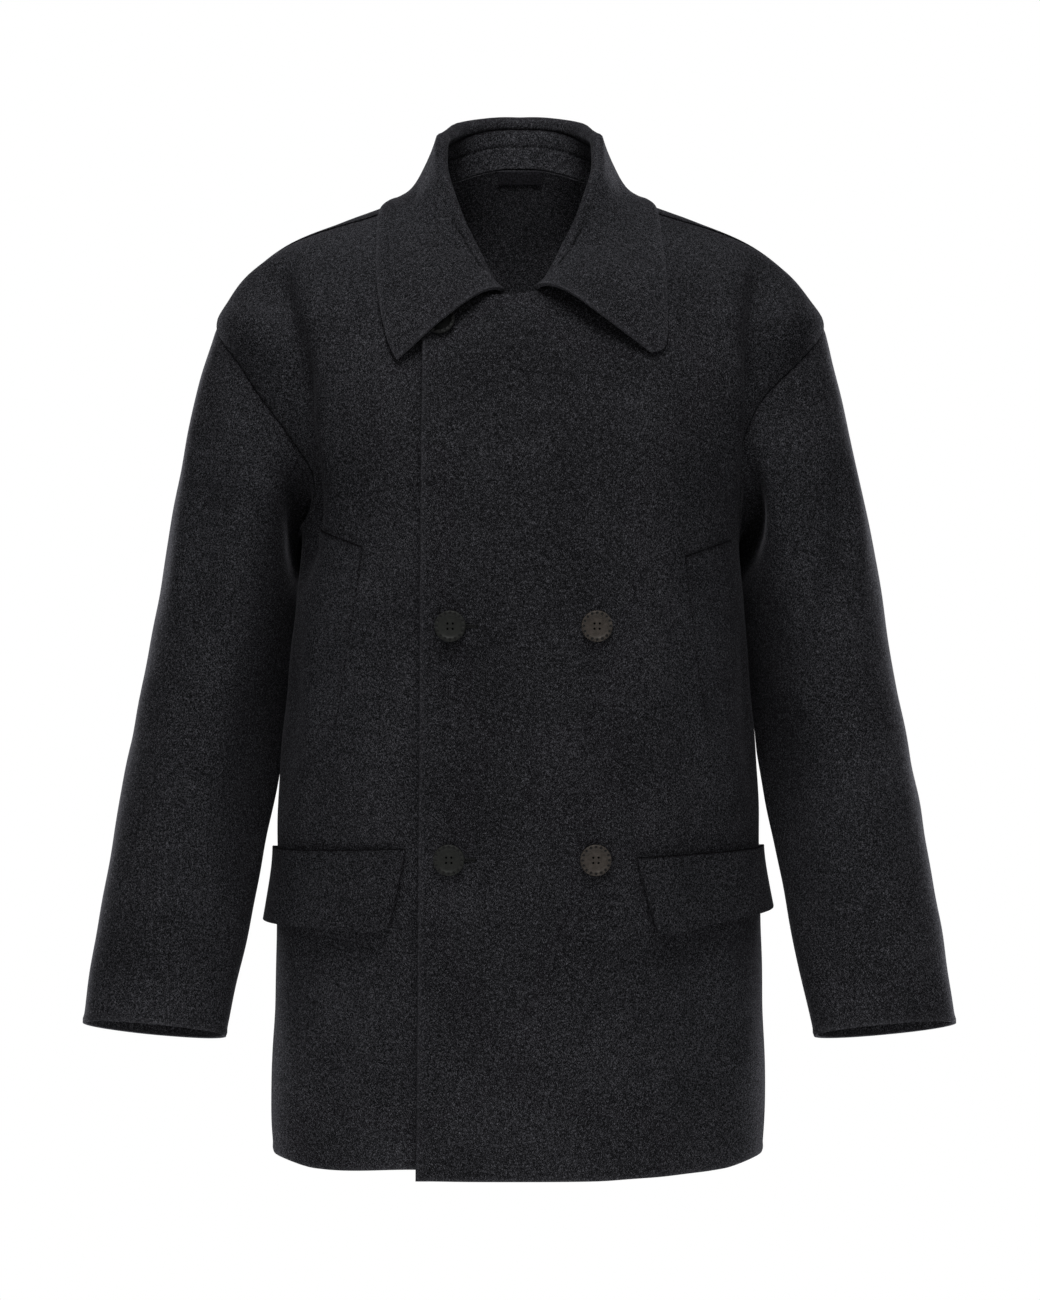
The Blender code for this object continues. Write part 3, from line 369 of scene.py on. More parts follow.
def halfPanel(face):  # turns and heights of half the front (-1) or the back (1)
    halfGap = cloth["seamGap"] / 2 * face
    sides = body["hem"] + (body["sideTop"] - body["hem"]) * (np.linspace(0.0, 1.0, body["sideRows"]) ** 0.92)
    side = np.stack([halfWidthAt(sides), np.full(len(sides), halfGap), sides], axis=-1)
    angles = np.append(np.linspace(180.0, 5.0, body["armholeRows"] - 1), 0.0)
    ring = armholeRing(angles if face < 0 else 360.0 - angles, cloth["seamGap"] / 2)
    ring[[0, -1], 1] = halfGap
    tip = body["armMiddle"] + body["armHalfHeight"]
    heights = np.linspace(tip + 0.003, 0.0, body["shoulderRows"])[:-1]
    ridge = halfWidthAt(heights)
    seamY = -body["shoulderSeam"] * (1 - smoothStep(ridge, *body["shoulderSeamFade"]))
    n = squareAt(heights)
    seamX = ridge * np.clip(1 - (np.abs(seamY) / frontAt(heights)) ** n, 0.0, None) ** (1 / n)
    seam = np.stack([seamX, seamY + halfGap, heights], axis=-1)
    top = neckRing(np.array([neckSeamTurn(face)]), cloth["seamGap"] / 2)
    seam = seam[seam[:, 2] < top[0, 2] - 0.0015]
    points = np.concatenate([side, ring, seam, top])
    turns = turnOf(points)
    heights = points[:, 2]
    centre = 0.0 if face < 0 else 180.0
    shares = np.linspace(0.0, 1.0, body["columns"])
    neck = neckRing(centre + (neckSeamTurn(face) - centre) * shares, cloth["seamGap"] / 2)
    neckTurn = turnOf(neck)
    level = len(sides) - 2
    runs = np.concatenate([[0.0], np.cumsum(np.linalg.norm(np.diff(points, axis=0), axis=1))])
    climb = np.clip((runs - runs[level]) / (runs[-1] - runs[level]), 0.0, 1.0)
    centreHeights = np.where(climb > 0, heights[level] + (neck[0, 2] - heights[level]) * climb, heights)
    blend = climb ** 1.5
    even = 1 - (1 - shares[None, :]) ** body["sideCrowding"]
    atNeck = ((neckTurn - centre) / (neckTurn[-1] - centre))[None, :]
    turn = centre + (turns - centre)[:, None] * (even * (1 - blend[:, None]) + atNeck * blend[:, None])
    rise = centreHeights[:, None] + (heights - centreHeights)[:, None] * even ** 1.3
    target = neck[0, 2] + (heights[-1] - neck[0, 2]) * even[0] ** 1.3
    rise = rise + (neck[:, 2] - target)[None, :] * (climb ** 3)[:, None]
    pull = 0.8 * smoothStep(climb, 0.0, 0.12)[1:-1, None]
    for _ in range(body["evening"]):
        for grid in (turn, rise):
            middle = (grid[:-2, 1:-1] + grid[2:, 1:-1] + grid[1:-1, :-2] + grid[1:-1, 2:]) / 4
            grid[1:-1, 1:-1] += (middle - grid[1:-1, 1:-1]) * pull
    return turn, rise


def frontEdge(height):
    (topX, topZ), (lowX, lowZ) = body["edgeTop"], body["edgeLow"]
    return topX + (lowX - topX) * (height - topZ) / (lowZ - topZ)


def lapRise(points):
    across = 1 - smoothStep(points[..., 0], *body["lapFade"])
    return lapRiseFull * across * (1 - smoothStep(points[..., 2], *body["lapNeckFade"]))


def noRise(points):
    return 0.0 * points[..., 0]


def clothOut(base, rise):  # how far the outer face lies from the form
    aside, z = np.abs(base[..., 0]), base[..., 2]
    uneven = waves(base, body["unevenSeed"], body["unevenSizes"], body["unevenHeights"])
    uneven = uneven * (1 - 0.85 * smoothStep(z, -0.09, -0.03))      # the shoulders are pressed smooth
    tip = body["tipFlare"] * smoothStep(aside, *body["tipFrom"]) * smoothStep(-z, *body["tipBelow"])
    ring = np.hypot(base[..., 1] / body["armFront"], (z - body["armMiddle"]) / body["armHalfHeight"]) - 1
    padded = np.exp(-(ring * 0.08 / body["padWide"]) ** 2) * smoothStep(aside, 0.15, 0.18)
    # less of it on top, where the seam lies on the rounded shoulder, and none towards the underarm
    padded *= smoothStep(z, -0.27, -0.19) * (1 - 0.7 * smoothStep(z, -0.15, -0.125))
    return rise(base) - foldDepth(base) + uneven + tip + body["seamPad"] * padded


def hemSwell(rim):
    return cloth["hemSwell"] * np.exp(-((rim - cloth["hemWide"] * 0.45) / (cloth["hemWide"] * 0.5)) ** 2)


def seamAndRim(seam, rim):  # the sink beside a seam and the swell along a free edge
    return hemSwell(rim) - cloth["seamSink"] * np.exp(-(seam / cloth["seamWide"]) ** 2)


def panel(name, turn, height, rise, material, edges):
    # edges says seam or free for the hem, the neck, and the first and last column
    places = ((0, True), (0, False), (1, True), (1, False))
    for axis, first in places:
        turn, height = denser(turn, axis, first), denser(height, axis, first)
    base = formPoint(turn, height)
    away = {kind: np.full(turn.shape, 1.0) for kind in ("seam", "free", "side")}
    for kind, (axis, first) in zip(edges, places):
        far = fromEdge(base, axis, first)
        away[kind] = np.minimum(away[kind], far)
        if axis == 1:
            away["side"] = np.minimum(away["side"], far)
    normal = formNormal(base)
    out = clothOut(base, rise) + seamAndRim(away["seam"], away["free"])
    if name == "backPanel":  # the shoulder seam's turnings are pressed to the back and lift its edge
        step = np.exp(-(away["side"] / body["stepWide"]) ** 2) * smoothStep(height, -0.112, -0.100)
        out += body["shoulderStep"] * step
    shade = cloth["paintedShade"] * seamLine(away["seam"])     # painted shade along the seams, fainter still round the top of the armhole
    shade *= 1 - 0.8 * smoothStep(height, -0.17, -0.13) * smoothStep(np.abs(base[..., 0]), 0.20, 0.24)
    if name == "frontOver":  # its edge stands a little off the front below, and painted shade darkens its outermost edge
        lapEdge = fromEdge(base, 1, False)
        out += body["edgeLift"] * np.exp(-(lapEdge / body["edgeWide"]) ** 2)
        shade = np.maximum(shade, body["edgeShade"] * np.exp(-(lapEdge / body["edgeShadeWide"]) ** 2))
    out = out[..., None]
    return clothPiece(name, base + normal * out, base + normal * (out - cloth["thick"]), material,
                      rim=away["free"], shade=shade)


halfFront = halfPanel(-1)
halfBack = halfPanel(1)
print("panel grids laid out:", halfFront[0].shape, halfBack[0].shape)


def makeBack(material, paintedLightInside):
    turn, height = halfBack
    turn = np.concatenate([turn[:, ::-1], 360.0 - turn[:, 1:]], axis=1)
    height = np.concatenate([height[:, ::-1], height[:, 1:]], axis=1)
    piece = panel("backPanel", turn, height, noRise, material, ("free", "seam", "seam", "seam"))
    piece.data.materials.append(paintedLightInside)
    columns = turn.shape[1] + 8     # with the lines that panel() adds beside its edges
    rows = len(piece.data.vertices) // 2 // columns
    quads = (rows - 1) * (columns - 1)
    face = np.zeros(len(piece.data.polygons), dtype=np.int32)
    face[quads:2 * quads] = 1       # the inner face, in a copy of the melton made paler as painted light
    piece.data.polygons.foreach_set("material_index", face)
    return piece


def makeFront(name, side, reach, rise, hemDrop, material):
    turn, height = halfFront
    baseX = np.abs(formPoint(turn, height)[..., 0])
    lower = (1 - smoothStep(height, body["hem"], body["hem"] + 0.015)) * (1 - smoothStep(baseX, 0.06, 0.19))
    fuller = (1 - smoothStep(height, body["hem"], body["hem"] + 0.05)) * smoothStep(baseX, 0.08, 0.165)
    height = height - hemDrop * lower - body["hemFull"] * fuller * (1 - smoothStep(baseX, 0.172, 0.209))
    centreHeights = height[:, :1]
    shares = np.linspace(0.0, 1.0, body["lapColumns"] + 1)[1:]
    pastX = -reach(centreHeights) * shares[None, :]
    pastHeight = centreHeights - body["lapTopDrop"] * smoothStep(centreHeights, -0.16, -0.105) + 0 * pastX
    turn = np.concatenate([turn[:, ::-1], turnAt(pastX, pastHeight)], axis=1) * side
    height = np.concatenate([height[:, ::-1], pastHeight], axis=1)
    return panel(name, turn, height, rise, material, ("free", "seam", "seam", "free"))


# the side seam's turnings, pressed open inside; halfTurn is their width to each side in degrees
sideTurning = {"aboveHem": 0.0004, "top": -0.322, "halfTurn": 2.4, "rows": 70, "columns": 9}


def makeSideTurning(name, side, material):
    low, high = body["hem"] + sideTurning["aboveHem"], sideTurning["top"]
    heights = np.linspace(low, high, sideTurning["rows"])[:, None]
    turns = np.linspace(-sideTurning["halfTurn"], sideTurning["halfTurn"], sideTurning["columns"])[None, :]
    base = formPoint(side * (90.0 + turns), heights)
    near = (clothOut(base, noRise) - cloth["thick"] - cloth["seamGap"])[..., None]
    normal = formNormal(base)
    return clothPiece(name, base + normal * near, base + normal * (near - cloth["turning"]), material,
                      edgeRound=cloth["turningRound"])


# materials
def linear(hexColour):
    parts = [int(hexColour[i:i + 2], 16) / 255 for i in (1, 3, 5)]
    return [p / 12.92 if p <= 0.04045 else ((p + 0.055) / 1.055) ** 2.4 for p in parts] + [1.0]


def addNode(tree, kind, settings=None, links=None):  # one node, its settings and what feeds it
    node = tree.nodes.new(kind)
    for key, value in (settings or {}).items():
        if isinstance(key, int) or key in node.inputs:
            node.inputs[key].default_value = value
        else:
            setattr(node, key, value)
    for key, source in (links or {}).items():
        socket = source.outputs[0] if isinstance(source, bpy.types.Node) else source
        tree.links.new(socket, node.inputs[key])
    return node


def newMaterial(name):
    material = bpy.data.materials.new(name)
    material.use_nodes = True
    tree = material.node_tree
    tree.nodes.clear()
    return material, tree


# Felted wool melton: woven, then milled and pressed until the weave closes over. Dark and
# matt, with short grey fibres lying every way, and a pale fuzz where it turns from the eye.
melton = {
    # shade is the colour of the painted shade along seams, grooves and edges
    "dark": "#0b0b0c", "middle": "#1c1c1e", "pale": "#5a5a5f", "shade": "#020202", "fuzz": "#c9c9d2",
    "stops": (0.62, 0.74, 0.92),    # where on the fibres' noise the three greys lie
    "fibreMm": 0.55,        # across the fleck; the real fibres are finer and are drawn this coarse to show
    "fibreLong": 2.0,       # how much longer than wide a fleck is
    "fibreWays": (0.6, -0.9, 2.2),      # in radians
    "clumpMm": 2.2, "clumpShare": 0.22, # the nap lies in small clumps
    "patchMm": 70.0, "patchShare": 0.06,
    "roughness": 0.95, "sheenRoughness": 0.28,
    "fuzzMm": 0.40,         # how high the nap stands
    "rimPale": 0.11,        # how far the fuzz along a free edge pales the cloth
    "seamDark": 0.90,       # how far the painted shade along seams, grooves and edges darkens it
}


def meltonCloth(name, lift=1.0, seed=0.0, sheen=0.03):
    material, tree = newMaterial(name)
    place = addNode(tree, "ShaderNodeTexCoord").outputs["Object"]
    flecks = []
    for turn in melton["fibreWays"]:
        way = addNode(tree, "ShaderNodeMapping",
                      {"Location": (seed, seed * 0.7, turn), "Rotation": (0.3, turn, 0.0),
                       "Scale": (1.0, 1.0, 1.0 / melton["fibreLong"])}, {"Vector": place})
        flecks.append(addNode(tree, "ShaderNodeTexNoise", {"Scale": 1000 / melton["fibreMm"], "Detail": 1.5,
                                                           "Roughness": 0.6}, {"Vector": way}))
    crossed = addNode(tree, "ShaderNodeMath", {"operation": "MAXIMUM"}, {0: flecks[0], 1: flecks[1]})
    crossed = addNode(tree, "ShaderNodeMath", {"operation": "MAXIMUM"}, {0: crossed, 1: flecks[2]})
    clump = addNode(tree, "ShaderNodeTexNoise",
                    {"Scale": 1000 / melton["clumpMm"], "Detail": 2.0, "Roughness": 0.6}, {"Vector": place})
    patch = addNode(tree, "ShaderNodeTexNoise", {"Scale": 1000 / melton["patchMm"], "Detail": 2.0},
                    {"Vector": place})
    nearby = addNode(tree, "ShaderNodeMath", {"operation": "MULTIPLY_ADD", 1: melton["clumpShare"]},
                     {0: clump, 2: crossed})
    full = addNode(tree, "ShaderNodeMath", {"operation": "MULTIPLY_ADD", 1: melton["patchShare"]},
                   {0: patch, 2: nearby})
    ramp = addNode(tree, "ShaderNodeValToRGB", {}, {"Fac": full})
    stops = ramp.color_ramp.elements
    stops.new(0.5)
    for stop, at, grey in zip(stops, melton["stops"], ("dark", "middle", "pale")):
        # lift brightens or darkens the cloth's colours: painted light and shade for lit and shaded copies of
        # one melton
        stop.position, stop.color = at, [c * lift for c in linear(melton[grey])[:3]] + [1.0]
    worn = addNode(tree, "ShaderNodeAttribute", {"attribute_name": "rimFuzz"}).outputs["Fac"]
    fuzz = addNode(tree, "ShaderNodeMath", {"operation": "MULTIPLY", 1: melton["rimPale"]}, {0: worn})
    coloured = addNode(tree, "ShaderNodeMix", {"data_type": "RGBA", 7: linear(melton["pale"])},
                       {"Factor": fuzz, 6: ramp})
    # painted shade along seams, grooves and edges darkens the colour
    pressed = addNode(tree, "ShaderNodeAttribute", {"attribute_name": "paintedShade"}).outputs["Fac"]
    shade = addNode(tree, "ShaderNodeMath", {"operation": "MULTIPLY", 1: melton["seamDark"]}, {0: pressed})
    shaded = addNode(tree, "ShaderNodeMix", {"data_type": "RGBA", 7: linear(melton["shade"])},
                     {"Factor": shade, 6: coloured.outputs[2]})
    nap = addNode(tree, "ShaderNodeBump", {"Strength": 0.6, "Distance": melton["fuzzMm"] / 1000},
                  {"Height": nearby})
    shader = addNode(tree, "ShaderNodeBsdfPrincipled",
                     {"Roughness": melton["roughness"], "Specular IOR Level": 0.0, "Sheen Weight": sheen,
                      "Sheen Roughness": melton["sheenRoughness"], "Sheen Tint": linear(melton["fuzz"])},
                     {"Base Color": shaded.outputs[2], "Normal": nap})
    addNode(tree, "ShaderNodeOutputMaterial", {}, {"Surface": shader})
    return material


# Cast polyester button, turned and tumbled: a dull glow on the flat face, specks of pigment
button = {
    "radius": 0.0130, "thick": 0.0042, "shank": 0.0005, "holeRadius": 0.00095, "holeSpan": 0.0044,
    "rimDots": 16, "dotRing": 0.86, "dotRadius": 0.00100, "dotDeep": 0.0007, "rimFrom": 0.7,
    # pitShade is the colour of the painted shade in the holes and the sunk dots
    "roughness": 0.55, "gloss": 0.12, "pitShade": "#040404", "pitShadeReach": 0.0062, "pitShadeBelow": 0.60,
    # radius and height of the turned shape, as shares
    "profile": ((0.0, 0.0), (0.72, 0.0), (0.86, 0.06), (0.95, 0.22), (0.99, 0.42), (1.0, 0.58),
                (0.985, 0.76), (0.95, 0.90), (0.925, 0.955), (0.90, 0.985), (0.88, 0.995), (0.86, 1.0),
                (0.84, 0.998), (0.82, 0.99), (0.795, 0.965), (0.77, 0.92), (0.74, 0.86), (0.70, 0.79),
                (0.66, 0.73), (0.60, 0.69), (0.50, 0.665), (0.36, 0.65), (0.18, 0.64), (0.0, 0.64)),
}


def castButton(name, colour, dark):
    material, tree = newMaterial(name)
    place = addNode(tree, "ShaderNodeTexCoord").outputs["Object"]
    cloud = addNode(tree, "ShaderNodeTexNoise", {"Scale": 300.0, "Detail": 4.0, "Roughness": 0.65},
                    {"Vector": place})
    cloudy = addNode(tree, "ShaderNodeMath",
                     {"operation": "MULTIPLY_ADD", "use_clamp": True, 1: 3.0, 2: -1.0}, {0: cloud})
    mix = addNode(tree, "ShaderNodeMix", {"data_type": "RGBA", 6: linear(dark), 7: linear(colour)},
                  {"Factor": cloudy})
    axes = addNode(tree, "ShaderNodeSeparateXYZ", {}, {"Vector": place})
    flat = addNode(tree, "ShaderNodeCombineXYZ", {}, {"X": axes.outputs["X"], "Y": axes.outputs["Y"]})
    away = addNode(tree, "ShaderNodeVectorMath", {"operation": "LENGTH"}, {0: flat}).outputs["Value"]
    inner = addNode(tree, "ShaderNodeMath", {"operation": "LESS_THAN", 1: button["pitShadeReach"]}, {0: away})
    deep = addNode(tree, "ShaderNodeMath",
                   {"operation": "LESS_THAN", 1: button["thick"] * button["pitShadeBelow"]},
                   {0: axes.outputs["Z"]})
    hole = addNode(tree, "ShaderNodeMath", {"operation": "MULTIPLY"}, {0: inner, 1: deep})
    pit = addNode(tree, "ShaderNodeAttribute", {"attribute_name": "rimDot"}).outputs["Fac"]
    sunk = addNode(tree, "ShaderNodeMath", {"operation": "MAXIMUM"}, {0: hole, 1: pit})
    shade = addNode(tree, "ShaderNodeMix", {"data_type": "RGBA", 7: linear(button["pitShade"])},
                    {"Factor": sunk, 6: mix.outputs[2]})        # painted shade in the holes and the sunk dots
    shader = addNode(tree, "ShaderNodeBsdfPrincipled", {"Roughness": button["roughness"], "IOR": 1.5,
                                                        "Specular IOR Level": button["gloss"]},
                     {"Base Color": shade.outputs[2]})
    addNode(tree, "ShaderNodeOutputMaterial", {}, {"Surface": shader})
    return material


# Woven polyester label tape: satin threads, close and dull, mottled where they cross
tape = {"threadMm": 0.3, "mottleMm": 1.3, "dark": "#111113", "pale": "#2d2c31"}


def satinTape(name):
    material, tree = newMaterial(name)
    place = addNode(tree, "ShaderNodeTexCoord").outputs["Object"]
    threads = addNode(tree, "ShaderNodeTexWave",
                      {"bands_direction": "Z", "Distortion": 0.4,
                       "Scale": 1000 / tape["threadMm"] / math.tau}, {"Vector": place})
    weave = addNode(tree, "ShaderNodeBump", {"Strength": 0.3, "Distance": 0.0001},
                    {"Height": threads.outputs["Fac"]})
    mottle = addNode(tree, "ShaderNodeTexNoise", {"Scale": 1000 / tape["mottleMm"], "Detail": 2.0},
                     {"Vector": place})
    ramp = addNode(tree, "ShaderNodeValToRGB", {}, {"Fac": mottle})
    for stop, position, colour in zip(ramp.color_ramp.elements, (0.40, 0.62), (tape["dark"], tape["pale"])):
        stop.position, stop.color = position, linear(colour)
    shader = addNode(tree, "ShaderNodeBsdfPrincipled", {"Roughness": 0.75, "Specular IOR Level": 0.1},
                     {"Base Color": ramp, "Normal": weave})
    addNode(tree, "ShaderNodeOutputMaterial", {}, {"Surface": shader})
    return material


# Spun polyester sewing thread: a shade darker than the cloth, its twist in fine slanting bands
thread = {"twistMm": 0.5, "dark": "#030303", "pale": "#0d0d0e"}


def sewingThread(name):
    material, tree = newMaterial(name)
    place = addNode(tree, "ShaderNodeTexCoord").outputs["Object"]
    twist = addNode(tree, "ShaderNodeTexWave",
                    {"bands_direction": "DIAGONAL", "Scale": 1000 / thread["twistMm"] / math.tau},
                    {"Vector": place})
    ramp = addNode(tree, "ShaderNodeValToRGB", {}, {"Fac": twist.outputs["Fac"]})
    for stop, colour in zip(ramp.color_ramp.elements, (thread["dark"], thread["pale"])):
        stop.color = linear(colour)
    shader = addNode(tree, "ShaderNodeBsdfPrincipled", {"Roughness": 0.7, "Specular IOR Level": 0.1},
                     {"Base Color": ramp})
    addNode(tree, "ShaderNodeOutputMaterial", {}, {"Surface": shader})
    return material


# one melton in lit and shaded copies: each lift is painted light or painted shade for its part of the coat
bodyMelton = meltonCloth("feltedMeltonBody")
underMeltonPaintedLight = meltonCloth("feltedMeltonUnderFrontPaintedLight", 1.10, 0.31)
sleeveMeltonPaintedLight = meltonCloth("feltedMeltonSleevePaintedLight", 1.04, 0.57, 0.12)
collarMeltonPaintedLight = meltonCloth("feltedMeltonCollarPaintedLight", 1.05, 0.83, 0.08)
standMeltonPaintedLight = meltonCloth("feltedMeltonStandPaintedLight", 1.30, 0.47)
insideMeltonPaintedLight = meltonCloth("feltedMeltonInsidePaintedLight", 1.9, 1.31)
trimMeltonPaintedShade = meltonCloth("feltedMeltonPocketPaintedShade", 0.95, 1.07)
paleButton = castButton("castPolyesterWarmGrey", "#3c3733", "#292521")
darkButton = castButton("castPolyesterSlate", "#1c1d1b", "#121311")
# the neck button: a darker copy of the slate button, painted shade where the collar shades it
shadedButton = castButton("castPolyesterPaintedShade", "#060706", "#040404")
tapeMaterial = satinTape("wovenSatinTape")
threadMaterial = sewingThread("spunPolyesterThread")
print("materials made")


# a sleeve hangs from the armhole, bends slightly forward at the elbow and ends in a plain cuff
sleeve = {
    "columns": ("height", "x", "y", "halfWidth", "halfDepth", "square"),
    "rows": (
        (-0.3550, 0.2464, 0.0010, 0.0660, 0.0700, 2.25),
        (-0.4200, 0.2584, -0.0010, 0.0655, 0.0670, 2.20),
        (-0.4910, 0.2724, -0.0080, 0.0650, 0.0625, 2.15),
        (-0.5930, 0.2898, -0.0270, 0.0640, 0.0560, 2.10),
        (-0.6780, 0.3038, -0.0450, 0.0630, 0.0490, 2.10),
        (-0.7290, 0.3124, -0.0560, 0.0613, 0.0450, 2.10),
    ),
    "cuffLevel": 0.40,      # how far the cuff is cut back towards level
    "bodyGap": 0.0005,
    "drawn": 0.038, "drawnFrom": (0.17, 0.29), "drawnTo": (0.44, 0.73),   # the side by the body is drawn back
    # how the sleeve head leaves the armhole: everywhere, at the top, front and back, and at the back only
    "headOut": (0.006, 0.034, 0.050, 0.030), "headBack": 0.060, "headFront": 0.030,
    "headDown": (-0.020, -0.130), "headArrive": (0.05, 0.16),
    "headRows": 34, "armRows": 110, "ringColumns": 128, "ease": 1.25,
    "unevenSizes": (0.20, 0.10, 0.05), "unevenHeights": (0.0020, 0.0014, 0.0007),
    "unevenSeeds": {"left": 21, "right": 22},
    "girthArm": 0.066,      # the radius at which a fold's width is taken
    "pushes": 6, "spread": 24,
    "turningReach": 0.009,  # how far the seam's turnings reach into the body
    "turningGap": 0.0006,
}
# soft folds of each sleeve: from (turn, height) to (turn, height), half width, depth;
# turn 0 is the top or outer side, 90 the front
sleeveFolds = {
    "right": (
        (92, -0.13, 148, -0.34, 0.021, 0.0180), (38, -0.19, 84, -0.40, 0.015, 0.0055),
        (252, -0.19, 236, -0.38, 0.020, 0.0070), (300, -0.22, 272, -0.44, 0.016, 0.0035),
        (84, -0.36, 96, -0.60, 0.013, 0.0022),
        (330, -0.40, 380, -0.52, 0.020, 0.0012), (222, -0.40, 205, -0.62, 0.020, 0.0050),
    ),
    "left": (
        (94, -0.13, 150, -0.34, 0.021, 0.0180), (40, -0.21, 88, -0.42, 0.014, 0.0060),
        (250, -0.20, 238, -0.37, 0.020, 0.0065), (298, -0.23, 268, -0.46, 0.015, 0.0035),
        (86, -0.37, 98, -0.62, 0.013, 0.0020),
        (334, -0.42, 384, -0.54, 0.020, 0.0012), (224, -0.42, 208, -0.60, 0.020, 0.0050),
    ),
}


def sleeveFoldDepth(side, turns, heights):
    depth = np.zeros(np.broadcast(turns, heights).shape)
    for topTurn, topZ, lowTurn, lowZ, halfWidth, deep in sleeveFolds[side]:
        along = (heights - topZ) / (lowZ - topZ)
        middle = topTurn + (lowTurn - topTurn) * along + 4.0 * np.sin(along * 6.0 + topTurn)
        aside = np.radians((turns - middle + 180.0) % 360.0 - 180.0) * sleeve["girthArm"]
        ends = smoothStep(along, -0.1, 0.4) * (1 - smoothStep(along, 0.65, 1.15))
        bank = np.exp(-((np.abs(aside) - 1.9 * halfWidth) / (0.9 * halfWidth)) ** 2)
        depth += ends * (deep * np.exp(-(aside / halfWidth) ** 2) - min(0.25 * deep, 0.0012) * bank)
    return depth


def sleeveSection(turns, height):  # one ring of the sleeve, square to its own axis
    at = {name: tableCurve(sleeve, "height", name) for name in sleeve["columns"][1:]}
    centre = np.array([at["x"](height), at["y"](height), height])
    above, below = min(height + 0.01, sleeve["rows"][0][0]), max(height - 0.01, sleeve["rows"][-1][0])
    axis = unit(np.array([at["x"](below) - at["x"](above), at["y"](below) - at["y"](above), below - above]))
    cutBack = sleeve["cuffLevel"] * smoothStep(-height, 0.6, 0.729)
    plane = axis + np.array([0.0, 0.0, -1.0]) * cutBack * 2
    plane[1] = axis[1] * (1 + cutBack * 2)
    plane = unit(plane)
    out = unit(np.cross(np.cross(axis, np.array([1.0, 0.0, 0.0])), axis))
    front = unit(np.cross(axis, out))
    front = front if front[1] < 0 else -front
    angle = np.radians(turns)
    power = 2 / at["square"](height)
    cos, sin = np.cos(angle), np.sin(angle)
    wide = at["halfWidth"](height) * np.sign(cos) * np.abs(cos) ** power
    deep = at["halfDepth"](height) * np.sign(sin) * np.abs(sin) ** power
    ring = centre + wide[:, None] * out + deep[:, None] * front
    shift = ((ring - centre) @ plane) / (axis @ plane)
    return ring - shift[:, None] * axis, axis


def gridNormals(points, wrap):
    around = np.roll(points, -1, axis=1) - np.roll(points, 1, axis=1) if wrap else np.gradient(points, axis=1)
    return unit(np.cross(np.gradient(points, axis=0), around))


def tubeNormals(points):  # pointing out of the tube
    normal = gridNormals(points, True)
    outward = points[-1] - points[-1].mean(axis=0)
    return normal if (normal[-1] * outward).sum() > 0 else -normal


def sleeveRings(turns, start):  # from the armhole over the sleeve head and down to the cuff
    heights = np.linspace(sleeve["rows"][0][0], sleeve["rows"][-1][0], sleeve["armRows"])
    first, axis = sleeveSection(turns, heights[0])
    angle = np.radians(turns)
    top = (1 + np.cos(angle)) / 2
    fuller = np.clip(-np.sin(2 * angle), 0.0, None) * (np.sin(angle) < 0)      # the back of the sleeve head
    always, atTop, beside, behind = sleeve["headOut"]
    outward = always + atTop * top + beside * np.abs(np.sin(angle)) + behind * fuller
    backward = sleeve["headBack"] * fuller - sleeve["headFront"] * np.sin(angle)
    upward = sleeve["headDown"][0] + sleeve["headDown"][1] * top
    leave = np.stack([outward, backward, upward], axis=-1)
    arrive = axis[None, :] * (sleeve["headArrive"][0] + sleeve["headArrive"][1] * top)[:, None]
    rings = []
    for s in np.linspace(0.0, 1.0, sleeve["headRows"])[:-1] ** sleeve["ease"]:
        rings.append(start * (1 + 2 * s) * (1 - s) ** 2 + leave * s * (1 - s) ** 2
                     + first * s * s * (3 - 2 * s) - arrive * s * s * (1 - s))
    rings += [sleeveSection(turns, height)[0] for height in heights]
    return np.array(rings)


def clearOfBody(outer):  # spread each push so the cloth gives way without a crease
    armpit = body["armHalfHeight"] - body["armMiddle"]
    below = smoothStep(-outer[..., 2], armpit - 0.004, armpit + 0.010)[..., None]
    for _ in range(sleeve["pushes"]):
        soft = (pushClear(outer, sleeve["bodyGap"]) - outer) * below
        for _ in range(sleeve["spread"]):
            soft = (np.roll(soft, 1, axis=1) + np.roll(soft, -1, axis=1) + 2 * soft) / 4
            soft[1:-1] = (soft[:-2] + soft[2:] + 2 * soft[1:-1]) / 4
        outer[1:] = (outer + soft)[1:]
    outer[1:] = (outer + (pushClear(outer, sleeve["bodyGap"]) - outer) * below)[1:]
    return outer


